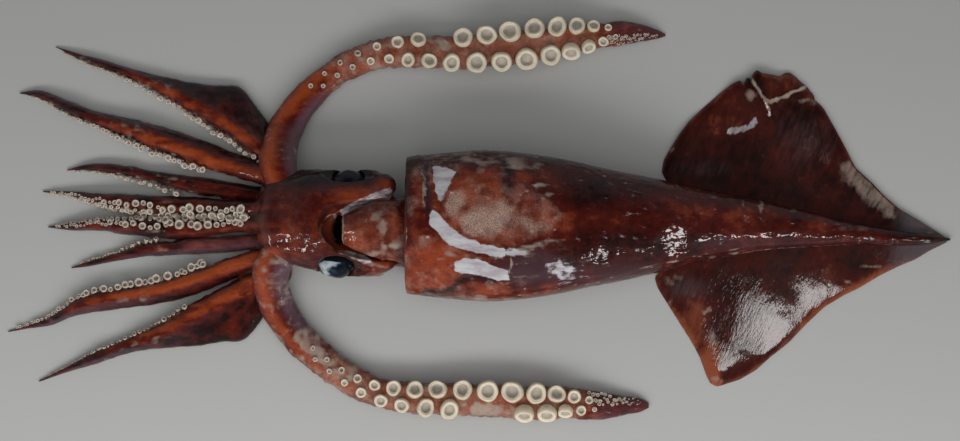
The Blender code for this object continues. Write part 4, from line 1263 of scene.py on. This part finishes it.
def apply_modifiers(piece):
    """Makes what a piece's modifiers do a part of its mesh."""
    bpy.context.view_layer.update()
    graph = bpy.context.evaluated_depsgraph_get()
    made = bpy.data.meshes.new_from_object(piece.evaluated_get(graph))
    made.materials.clear()
    piece.modifiers.clear()
    piece.data = made


def cut_out(piece, others):
    """Cuts other shapes from a piece, and removes them."""
    for other in others:
        step = piece.modifiers.new("step", "BOOLEAN")
        step.operation, step.object, step.solver = "DIFFERENCE", other, "MANIFOLD"
        apply_modifiers(piece)
        bpy.data.objects.remove(other)


def melt(piece, voxel, rounds):
    """Melts overlapping bodies into one skin with even faces, and rounds its folds."""
    step = piece.modifiers.new("melt", "REMESH")
    step.mode, step.voxel_size = "VOXEL", voxel * MM
    ease = piece.modifiers.new("ease", "SMOOTH")
    ease.factor, ease.iterations = 0.5, rounds
    apply_modifiers(piece)
    piece.data.polygons.foreach_set("material_index", [0] * len(piece.data.polygons))
    piece.data.shade_smooth()


def join(name, pieces):
    """Puts the meshes of several pieces into one object, still overlapping."""
    bm = bmesh.new()
    for piece in pieces:
        bm.from_mesh(piece.data)
        bpy.data.objects.remove(piece)
    mesh = bpy.data.meshes.new(name)
    bm.to_mesh(mesh)
    bm.free()
    joined = bpy.data.objects.new(name, mesh)
    bpy.context.scene.collection.objects.link(joined)
    return joined


print("groove rings:", groove_rings().shape)

# %% The head, melted together
head_x = np.linspace(HEAD[0][0], HEAD[-1][0], 90)
head_shape = smooth(HEAD, head_x)
skull = loft("skull", body_rings(head_x, head_shape[:, :3], 96, floor=head_shape[:, 3]))
sleeves = [loft("sleeve", arm_rings(n, 40, 36, start=0.72, grow=SLEEVE)) for n in ARMS]
corners = [ball("corner", *corner) for corner in CORNERS]
head = join("head_skin_piece", [skull, *sleeves, *corners])
melt(head, 0.9, 4)
cuts = [loft("groove", groove_rings())]
for name, centre in EYES.items():
    cuts += [ball("socket", centre, EYE_RADIUS * np.array(SOCKET)), ball("lid", *LIDS[name])]
cut_out(head, [*cuts, ball("pit", *PIT)])
melt(head, 0.7, 5)
print("head:", len(head.data.polygons), "faces")

# %% [markdown]
# The head is dark red between the arm roots, with an orange blush beside the groove. Round
# the groove the skin ends in a thin pale lip, and inside it the flesh is white where it is
# thick and brown where it is thin. Painted shade darkens the depth of the groove and its front,
# the slit between the middle arms, the gap at the neck and the upper side, and the rounded
# sides carry a painted grey-violet sheen.

# %% The colours of the head
GROOVE_LIP = [
    (388, 189), (372, 198), (352, 207), (338, 211), (326, 217), (320, 226), (320, 234), (325, 243),
    (335, 250), (347, 256), (360, 262), (374, 268),
]
WHITE_ABOVE = [
    (338, 210), (350, 203), (364, 197), (378, 191), (391, 186), (393, 197), (380, 204), (368, 209),
    (352, 213), (342, 216),
]
WHITE_BELOW = [(340, 250), (352, 252), (362, 255), (371, 260), (374, 264), (360, 262), (348, 257)]
FRONT_FOLD = [(335, 214), (333, 226), (336, 240)]
WARM_ON_HEAD = [
    # x, y, half width, half height, strength
    (300, 238, 36, 16, 0.2), (356, 196, 30, 8, 0.55), (382, 183, 12, 7, 0.4), (378, 272, 14, 6, 0.3),
    # The cooler blotch on the upper edge is painted shade
    (300, 180, 26, 10, -0.35),
]

places, normals = points_of(head)
x, y = seen_at(places)
xr, yr = ragged(x, y, places, 2.0, 5.0)
xt, yt = ragged(x, y, places, 0.8, 3.0)
lip = to_line(xt, yt, GROOVE_LIP)
in_groove = eased(into_outline(x, y, [*GROOVE_LIP, (404, 268), (404, 190)]), -1, 2)
above = eased(normals[:, 2], -0.1, 0.3)
bare = 0.5 * np.maximum(into_outline(xt, yt, WHITE_ABOVE), into_outline(xt, yt, WHITE_BELOW))
bare = np.minimum(bare - 0.15, 0.2)
lid_edge = {
    n: np.linalg.norm((places - middle) / np.array(half_sizes), axis=1)
    for n, (middle, half_sizes) in LIDS.items()
}
warm = 0.46 + blotches(x, y, WARM_ON_HEAD, np.sum)
# An orange blush in the groove; darker along the upper side, away from the near lamp: painted shade
warm += 0.25 * in_groove - 0.45 * (1 - eased(y, 168, 190))
# Sides that face away from the top get a painted grey-violet sheen
violet = 0.55 * (1 - eased(normals[:, 2], 0.1, 0.7)) + 0.55 * spot(x, y, (295, 262), (34, 9))
violet += 0.35 * spot(x, y, (325, 180), (25, 8))
pale = np.max(
    [
        (0.75 + 0.5 * noise(places, 5.0, 2)) * (1 - eased(lip, 0.3, 1.3)),
        (0.8 + 0.6 * noise(places, 3.0, 2)) * strip(xr, yr, FRONT_FOLD, 3.0),
        1.25 * strip(xr, yr, [(372, 208), (384, 206), (396, 209)], 4.0),
        0.8 * strip(xr, yr, [(340, 250), (364, 262), (388, 268)], 3.5),
        0.6 * (1 - eased(lid_edge["eye_right"], 0.95, 1.1)),
    ],
    axis=0,
)
dark = np.max(
    [
        1.2 * (1 - eased(lid_edge["eye_left"], 1.0, 1.25)),
        0.5 * (1 - eased(lid_edge["eye_right"], 1.0, 1.2)),
        # Painted shade: deep in the groove and at its front, in the slit between the middle arms, on the
        # upper edge and in the gap at the neck
        1.0 * eased(30.0 - places[:, 2], 4.0, 9.0) * in_groove * (x < 352),
        0.5 * in_groove * (1 - eased(x, 318, 352)),
        0.9 * spot(xr, yr, (257, 219), (8, 5)),
        0.5 * spot(xr, yr, (300, 180), (30, 8)),
        0.6 * (1 - eased(np.abs(places[:, 0] + 44), 2, 7)),
    ],
    axis=0,
)
# Near the arm roots the head takes on the colours of the arms
for name in ARMS:
    _, across, _, arm_warm, arm_violet, arm_dark = arm_tones(name, places)
    share = eased(-places[:, 0], 101, 115) * eased(across, -0.15, 0.1) * (1 - eased(across, 0.9, 1.15))
    warm += (arm_warm - warm) * share
    violet += (arm_violet - violet) * share
    dark += (arm_dark - dark) * share
push(
    head,
    0.75 * noise(places * [0.6, 1, 1], 12.0, 2)
    + 0.20 * noise(places, 3.0, 2)
    + 0.4 * (1 - eased(lip, 0.6, 3.0)) * above
    + 0.5 * strip(x, y, FRONT_FOLD, 4) * in_groove,
)
store(head, warm=warm, violet=violet, pale=pale, scuff=0, bare=bare, dark=dark)
head.data.materials.append(body_skin)
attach(head, "root")
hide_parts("head")
print("head from", places.min(0).round(1), "to", places.max(0).round(1))

# %% [markdown]
# ## The siphon
#
# The siphon, or funnel, is the tube that the squid jets water through. It widens backwards
# and goes in under the rim of the mantle. Its wall turns over at the mouth, so the loft runs
# from deep inside, out over the lip and back along the outside.


# %% The siphon
def funnel_rings(sides=72):
    """The rings of the siphon, from inside its mouth, over the lip and back to the collar."""
    outer_x = np.linspace(FUNNEL[0][0] + 0.6, FUNNEL[-1][0], 70)
    turn = [(10.0, 4.2), (7.0, 3.0), (4.0, 2.2), (1.6, 1.8), (0.4, 1.4), (0.0, 0.8), (0.2, 0.25)]
    x = np.concatenate([[FUNNEL[0][0] + back for back, _ in turn], outer_x])
    inset = np.concatenate([[inward for _, inward in turn], np.zeros(len(outer_x))])
    centre, half_width, top, half_height = (v[:, None] for v in smooth(FUNNEL, x).T)
    angle = np.linspace(0, TAU, sides, endpoint=False)[None, :]
    y = centre + (half_width - inset[:, None]) * np.cos(angle)
    z = top - half_height + np.maximum(half_height - inset[:, None] * 0.8, 0.6) * np.sin(angle)
    return rings_of(x, y, z)


funnel = loft("funnel_skin_piece", funnel_rings())
print("funnel:", len(funnel.data.polygons), "faces")

# %% The colours of the siphon
PALE_ON_FUNNEL = [
    (376, 216, 6, 5, 1.0), (382, 228, 5, 10, 1.2), (394, 245, 8, 6, 1.3), (373, 254, 14, 4, 0.9),
    (384, 246, 4, 9, 0.9), (366, 222, 5, 3, 0.7),
]
FUNNEL_RIDGE = [(388, 222), (386, 240), (383, 258)]
# The inside of the mouth, darkened with painted shade: from and to along the squid, its middle
# and half width, and its top
MOUTH_X = (-72.4, -60.0)
MOUTH_Y, MOUTH_HALF_WIDTH = -7.2, 6.5
MOUTH_TOP = 36.0
places, normals = points_of(funnel)
x, y = seen_at(places)
xr, yr = ragged(x, y, places, 2.0, 4.0)
warm = 0.62 - 0.3 * eased(x, 392, 404) + 0.25 * spot(x, y, (358, 240), (14, 16))
warm += 0.3 * spot(x, y, (395, 222), (8, 12))
lip = 1 - eased(x, 343, 345.5)
pale = np.maximum(blotches(xr, yr, PALE_ON_FUNNEL), 0.9 * lip)
in_mouth = (places[:, 0] > MOUTH_X[0]) & (places[:, 0] < MOUTH_X[1])
in_mouth &= (np.abs(places[:, 1] - MOUTH_Y) < MOUTH_HALF_WIDTH) & (places[:, 2] < MOUTH_TOP)
push(
    funnel,
    0.6 * noise(places, 8.0, 2) + 0.16 * noise(places, 2.5, 2) + 0.9 * strip(x, y, FUNNEL_RIDGE, 4),
)
store(
    funnel, warm=warm, violet=0.15 + 0.3 * noise(places, 9.0, 2), pale=pale, scuff=0.25, bare=NOT_BARE,
    # The inside of the mouth is painted dark: painted shade
    dark=1.2 * (1 - eased(normals[:, 0], -1.0, -0.2)) * in_mouth,
)
funnel.data.materials.append(body_skin)
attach(funnel, "root")
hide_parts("funnel")
print("points down the mouth:", int(in_mouth.sum()))

# %% [markdown]
# ## The eyes
#
# A squid's eye is a ball with a mirror-like silver skin and a large dark pupil. The mirror is
# a layer of stacked plates, so it is neither metal nor plain white: a bright grey base under
# a clear wet film, with a trace of blue.


# %% The silver of the eyes
def make_eye_silver():
    """A bright grey layer that darkens, with a torn edge, to the pupil and the painted
    shade stored on the points.
    """
    silver = bpy.data.materials.new("silver_eye_layer")
    silver.use_nodes = True
    tree = silver.node_tree
    tree.nodes.clear()
    pupil = add(tree, "ShaderNodeAttribute", {"attribute_name": "pupil"}).outputs["Fac"]
    place = add(tree, "ShaderNodeTexCoord").outputs["Object"]
    cloud = add(tree, "ShaderNodeTexNoise", Vector=place, Scale=1 / 0.003, Detail=5.0, Roughness=0.6)
    edge = add(
        tree, "ShaderNodeMath", {"operation": "MULTIPLY_ADD"}, i0=cloud.outputs["Fac"], i1=1.6, i2=-0.8,
    )
    torn = add(tree, "ShaderNodeMath", i0=pupil, i1=edge.outputs["Value"])
    colours = [(0.0, "#a3acb1"), (0.4, "#596772"), (0.65, "#17232e"), (1.0, "#0d141b")]
    colour = add(
        tree, "ShaderNodeValToRGB", Fac=torn.outputs["Value"],
        stops=[(position, hex_colour(code)) for position, code in colours],
    )
    shader = add(
        tree, "ShaderNodeBsdfPrincipled", Base_Color=colour.outputs["Color"], Roughness=0.3,
        IOR=1.36, Specular_IOR_Level=0.2, Coat_Weight=0.6, Coat_Roughness=0.06, Coat_IOR=1.36,
    )
    add(tree, "ShaderNodeOutputMaterial", Surface=shader.outputs["BSDF"])
    return silver


eye_silver = make_eye_silver()
print("eye material:", eye_silver.name)

# %% The eyes
# What shows of the right eye between its lids; outside it the ball is painted dark: painted shade
ALMOND = [
    (317, 264), (324, 260), (347, 263), (356, 269), (364, 280), (352, 290), (334, 288), (324, 275),
]
EYE_FORM = (1.0, 0.8, 1.0)
# Where each eye looks, and how wide its pupil is, in degrees
GAZE = {"eye_left": ((0.1, 0.5, 0.86), 120.0), "eye_right": ((0.42, -0.7, 0.6), 40.0)}
for name, centre in EYES.items():
    eye = ball(name + "_ball", centre, EYE_RADIUS * np.array(EYE_FORM), 72)
    places, _ = points_of(eye)
    looks, wide = GAZE[name]
    gaze = np.array(looks) / np.linalg.norm(looks)
    outward = (places - centre) / np.linalg.norm(places - centre, axis=1)[:, None]
    angle = np.degrees(np.arccos(np.clip(outward @ gaze, -1, 1)))
    push(eye, 0.7 * (1 - eased(angle, 20, 42)) + 0.15 * noise(places, 4.0, 2))
    pupil = 1.15 - 1.15 * eased(angle, wide * 0.35, wide * 1.7) + 0.25 * noise(places, 2.5, 3)
    if name == "eye_right":
        # Outside what shows between the lids, the ball is painted dark: painted shade
        pupil = np.maximum(pupil, 1.2 - 1.2 * eased(into_outline(*seen_at(places), ALMOND), -0.5, 1.0))
    store(eye, pupil=pupil)
    eye.data.materials.append(eye_silver)
    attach(eye, "root")
    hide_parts(name)
print("eyes:", ", ".join(EYES))

# %% [markdown]
# ## Suckers
#
# A sucker is a cup of ivory muscle on a short stalk, wider in the body than at its mouth, with
# a stiff ring inside the rim. One profile, turned into a mesh, serves for all of them. Each
# copy gets its own size, tilt and slight squash. The places follow a rule: the row's step
# and radius change along the limb, and every other sucker goes to the other row.

# %% The cup, and a mesh of many cups
CUP = [
    # distance from the axis, height, how deep inside the cup
    (0.00, -1.15, 0.0), (0.32, -1.15, 0.0), (0.38, -0.75, 0.0), (0.66, -0.62, 0.0), (0.92, -0.34, 0.0),
    (1.00, 0.0, 0.0), (0.98, 0.26, 0.0), (0.92, 0.42, 0.0), (0.82, 0.50, 0.05), (0.73, 0.48, 0.12),
    (0.67, 0.39, 0.3), (0.62, 0.42, 0.15), (0.57, 0.35, 0.35), (0.53, 0.18, 0.8), (0.42, 0.06, 1.0),
    (0.22, 0.02, 0.9), (0.00, 0.04, 0.8),
]
# A small cup keeps only these rings of the profile, and has a stouter stalk
SMALL_CUP_RINGS = [0, 1, 2, 4, 5, 7, 8, 10, 12, 14, 16]
SMALL_CUP_STALK = 0.6


def cups(name, spots, sides, small=False):
    """One mesh of many suckers. A spot is a place, a direction, a radius and a stalk length."""
    rng = np.random.default_rng(5)
    profile = np.array(CUP)
    if small:
        profile = profile[SMALL_CUP_RINGS]
        profile[1:3, 0] = SMALL_CUP_STALK
    turn = np.linspace(0, TAU, sides, endpoint=False)
    rows = len(profile)
    across, height = profile[:, :1], profile[:, 1:2]
    template = np.stack([across * np.cos(turn), across * np.sin(turn), height + 0 * turn], -1)
    index = np.arange(rows * sides).reshape(rows, sides)
    a, b = index[:-1], index[1:]
    quads = np.stack([a, np.roll(a, -1, 1), np.roll(b, -1, 1), b], -1).reshape(-1, 4)
    points, faces, deep = [], [], []
    for number, (centre, direction, radius, stalk) in enumerate(spots):
        up = np.array(direction) / np.linalg.norm(direction)
        side = np.cross(up, [0.3, 0.9, 0.2])
        side /= np.linalg.norm(side)
        other = np.cross(up, side)
        squash = rng.uniform(0.9, 1.06, 2)
        shape = template.copy()
        shape[:2, :, 2] *= stalk
        shape[..., 0] *= squash[0]
        shape[..., 1] *= squash[1]
        ripple = 1 + 0.02 * np.sin(3 * turn + rng.uniform(0, TAU)) + 0.015 * np.sin(5 * turn + number)
        shape[..., :2] *= ripple[None, :, None]
        placed = shape[..., :1] * side + shape[..., 1:2] * other + shape[..., 2:] * up
        points.append((np.array(centre) + placed * radius).reshape(-1, 3))
        faces.append(quads + number * rows * sides)
        deep.append(np.repeat(profile[:, 2], sides))
    points = np.concatenate(points)
    points[:, 2] = np.maximum(points[:, 2], 0.05)
    mesh = bpy.data.meshes.new(name)
    mesh.from_pydata(points * MM, [], np.concatenate(faces).tolist())
    layer = mesh.attributes.new("deep", "FLOAT", "POINT")
    layer.data.foreach_set("value", np.concatenate(deep).astype(np.float32))
    return finish_mesh(name, mesh)


print("rings in a cup:", len(CUP), "or", len(SMALL_CUP_RINGS))

# %% [markdown]
# The muscle of a sucker lets light through. It is cream at the rim, greyer inside, where wet
# shadow and the translucent floor show, and the faint ring round the mouth is horn.


# %% The sucker material
def make_sucker_muscle(name, body, rim, inside, deepest):
    """Translucent muscle, coloured by how deep inside the cup a point lies."""
    ivory = bpy.data.materials.new(name)
    ivory.use_nodes = True
    tree = ivory.node_tree
    tree.nodes.clear()
    deep = add(tree, "ShaderNodeAttribute", {"attribute_name": "deep"}).outputs["Fac"]
    place = add(tree, "ShaderNodeTexCoord").outputs["Object"]
    cloud = add(tree, "ShaderNodeTexNoise", Vector=place, Scale=1 / 0.004, Detail=4.0, Roughness=0.6)
    colours = [(0.0, body), (0.15, rim), (0.6, inside), (1.0, deepest)]
    colour = add(
        tree, "ShaderNodeValToRGB", Fac=deep,
        stops=[(position, hex_colour(code)) for position, code in colours],
    )
    tinted = add(
        tree, "ShaderNodeMix", {"data_type": "RGBA", "blend_type": "MULTIPLY"},
        i0=cloud.outputs["Fac"], i6=colour.outputs["Color"], i7=hex_colour("#d9cfc2"),
    )
    bump = add(tree, "ShaderNodeBump", Strength=0.3, Distance=0.0003, Height=cloud.outputs["Fac"])
    shader = add(
        tree, "ShaderNodeBsdfPrincipled", Base_Color=tinted.outputs[2], Roughness=0.35, IOR=1.4,
        Normal=bump.outputs["Normal"], Subsurface_Weight=0.25, Subsurface_Radius=(1.0, 0.8, 0.6),
        Subsurface_Scale=1.5 * MM, Coat_Weight=0.5, Coat_Roughness=0.1,
    )
    add(tree, "ShaderNodeOutputMaterial", Surface=shader.outputs["BSDF"])
    return ivory


ivory = make_sucker_muscle("ivory_sucker_muscle", "#d8cfba", "#eae4d3", "#cbc4b9", "#b9b3aa")
clear_muscle = make_sucker_muscle("clear_sucker_muscle", "#bdb2a8", "#d6cfc6", "#aca39b", "#877e78")
print("sucker materials:", ivory.name, clear_muscle.name)

# %% The suckers of the clubs
# Distance from the tip, and there the radius of a sucker or the step to the next
CLUB_RADIUS = [
    (30, 1.6), (36, 3.0), (44, 4.2), (56, 5.6), (80, 6.3), (97, 5.9), (112, 5.4), (140, 4.2),
    (152, 3.1), (165, 2.2), (180, 1.6), (240, 1.0),
]
CLUB_STEP = [
    (30, 3.0), (36, 3.8), (50, 4.8), (63, 5.8), (75, 6.8), (110, 6.7), (130, 6.2), (145, 5.5),
    (165, 5.4),
]
CLUB_BUILD = {
    # distance from the tip of sucker number 0, spread of the rows, numbers that are torn off,
    # numbers that have tipped over, where on the stalk the first ones are, and where the small
    # ones of the fingertip are: from -1 at the near edge to 1 at the far one
    "tentacle_left": (175.7, 0.60, (9,), (20, 22), 200.0, (-0.95, -0.25)),
    "tentacle_right": (155.9, 0.42, (10, 12), (14, 16, 18), 186.0, (0.1, 0.95)),
}


def club_spots(name):
    """Where the suckers of a tentacle sit: place, direction, radius and stalk length of each."""
    length = along(TENTACLES[name])[-1, 0]
    from_tip, spread, torn_off, tipped, first, granular = CLUB_BUILD[name]
    rng = np.random.default_rng(8)
    spots = []
    walk = [(from_tip, 0)]
    while walk[0][0] < first:
        walk.insert(0, (walk[0][0] + 5.0, walk[0][1] - 1))
    while walk[-1][0] > 30:
        step = float(np.interp(walk[-1][0], *zip(*CLUB_STEP)))
        walk.append((walk[-1][0] - step, walk[-1][1] + 1))
    for from_tip, number in walk:
        radius = float(np.interp(from_tip, *zip(*CLUB_RADIUS)))
        centre, left, half_width, half_height, lift = tentacle_frame(name, length - from_tip)
        row = 1 if number % 2 else -1
        across = row * min(spread * 2 * radius + 0.6, half_width * 0.92)
        flat = centre + left * across
        drop = half_height * (1 - math.sqrt(max(0.0, 1 - (across / half_width) ** 2)))
        z = half_height * 1.94 + lift - drop + 0.35 * radius
        lean = 1.3 if number in tipped else rng.uniform(0.0, 0.45)
        tilt = (*(left * row * lean + rng.uniform(-0.25, 0.25, 2)), 1.0)
        if number not in torn_off:
            spots.append(((*flat, z), tilt, radius, 1.0))
    # The fingertip: a crowd of very small suckers along one edge
    for from_tip in np.arange(5.0, 34.0, 0.55):
        centre, left, half_width, half_height, lift = tentacle_frame(name, length - from_tip)
        share = rng.uniform(*granular)
        flat = centre + left * half_width * share
        z = half_height * (0.94 + math.sqrt(max(0.0, 1 - share**2)))
        size = (0.4 + 0.02 * from_tip) * rng.uniform(0.7, 1.2)
        spots.append(((*flat, z + 0.25 * size), (*rng.uniform(-0.5, 0.5, 2), 1.0), size, 1.0))
    return spots


# A sucker with a radius of over 2 mm is a large one, and the others join those of the arms
LARGE_RADIUS = 2.0
on_clubs = [cup for name in TENTACLES for cup in club_spots(name)]
large = [cup for cup in on_clubs if cup[2] > LARGE_RADIUS]
small = [cup for cup in on_clubs if cup[2] <= LARGE_RADIUS]
club_cups = cups("club_suckers", large, 32)
club_cups.data.materials.append(ivory)
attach(club_cups, "root")
print("large suckers:", len(large), "small ones:", len(small))

# %% [markdown]
# Most arms lie on their side, so their suckers stand out from the lower edge on stalks, as
# a fringe. The two middle arms lie with their suckers to the camera, in four rows, and on
# two others the stalks are bent so that the mouths face up.

# %% The suckers of the arms
ARM_SUCKERS = {
    # radius of the largest, angle round the arm of each row, stalk length in radii, how much
    # the suckers turn up (0 is straight out of the arm, 1 is up), and where they end
    "arm_left_3": (1.8, (166, 192), 2.4, 0.3, -120),
    "arm_left_2": (2.0, (164, 188), 2.2, 0.5, -150),
    "arm_left_1": (1.8, (166, 194), 2.9, 0.2, -163),
    "arm_left_4": (2.45, (100, 142, 176), 1.2, 0.1, -126),
    "arm_right_4": (2.45, (100, 142, 176), 1.2, 0.1, -126),
    "arm_right_1": (1.8, (164, 194), 2.7, 0.2, -176),
    "arm_right_2": (2.6, (160, 186), 1.7, 0.75, -148),
    "arm_right_3": (1.6, (160, 190), 1.5, 0.3, -158),
}


def arm_spots(name):
    """Where the suckers of an arm sit: place, direction, radius and stalk length of each."""
    largest, rows, stalk, turned_up, end = ARM_SUCKERS[name]
    tip, root = ARMS[name][0][0], ARMS[name][-1][0]
    rng = np.random.default_rng(21)
    spots = []
    for row, degrees in enumerate(rows):
        x = tip + 5.0 + 0.9 * row
        while x < end:
            share = (x - tip) / (root - tip)
            radius = largest * min(1.0, 0.25 + 1.3 * share) * rng.uniform(0.55, 1.15)
            angle = math.radians(degrees + rng.uniform(-16, 16))
            turn = np.array([0, math.pi / 2, math.pi, 3 * math.pi / 2, angle])
            section = arm_section(name, np.full(5, x), turn)
            out = section[4] - section[:4].mean(0)
            out /= np.linalg.norm(out)
            out = out + [rng.uniform(-0.5, 0.5), 0, rng.uniform(-0.1, 0.5)]
            out /= np.linalg.norm(out)
            facing = out * (1 - turned_up) + [0.0, 0.0, turned_up]
            place = section[4] + out * radius * (0.45 + 0.75 * (stalk - 1.0))
            place = place + [0, 0, 0.6 * radius * turned_up]
            spots.append((tuple(place), tuple(facing), radius, stalk))
            x += radius * 1.95 + rng.uniform(0.0, 0.9)
    return spots


small += [cup for name in ARMS for cup in arm_spots(name)]
arm_cups = cups("arm_suckers", small, 12, small=True)
arm_cups.data.materials.append(clear_muscle)
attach(arm_cups, "root")
print("arm suckers and small club suckers:", len(small), "with", len(arm_cups.data.polygons), "faces")

# %% Limit the small lamps to their pieces, and finish
light_only_their_pieces()
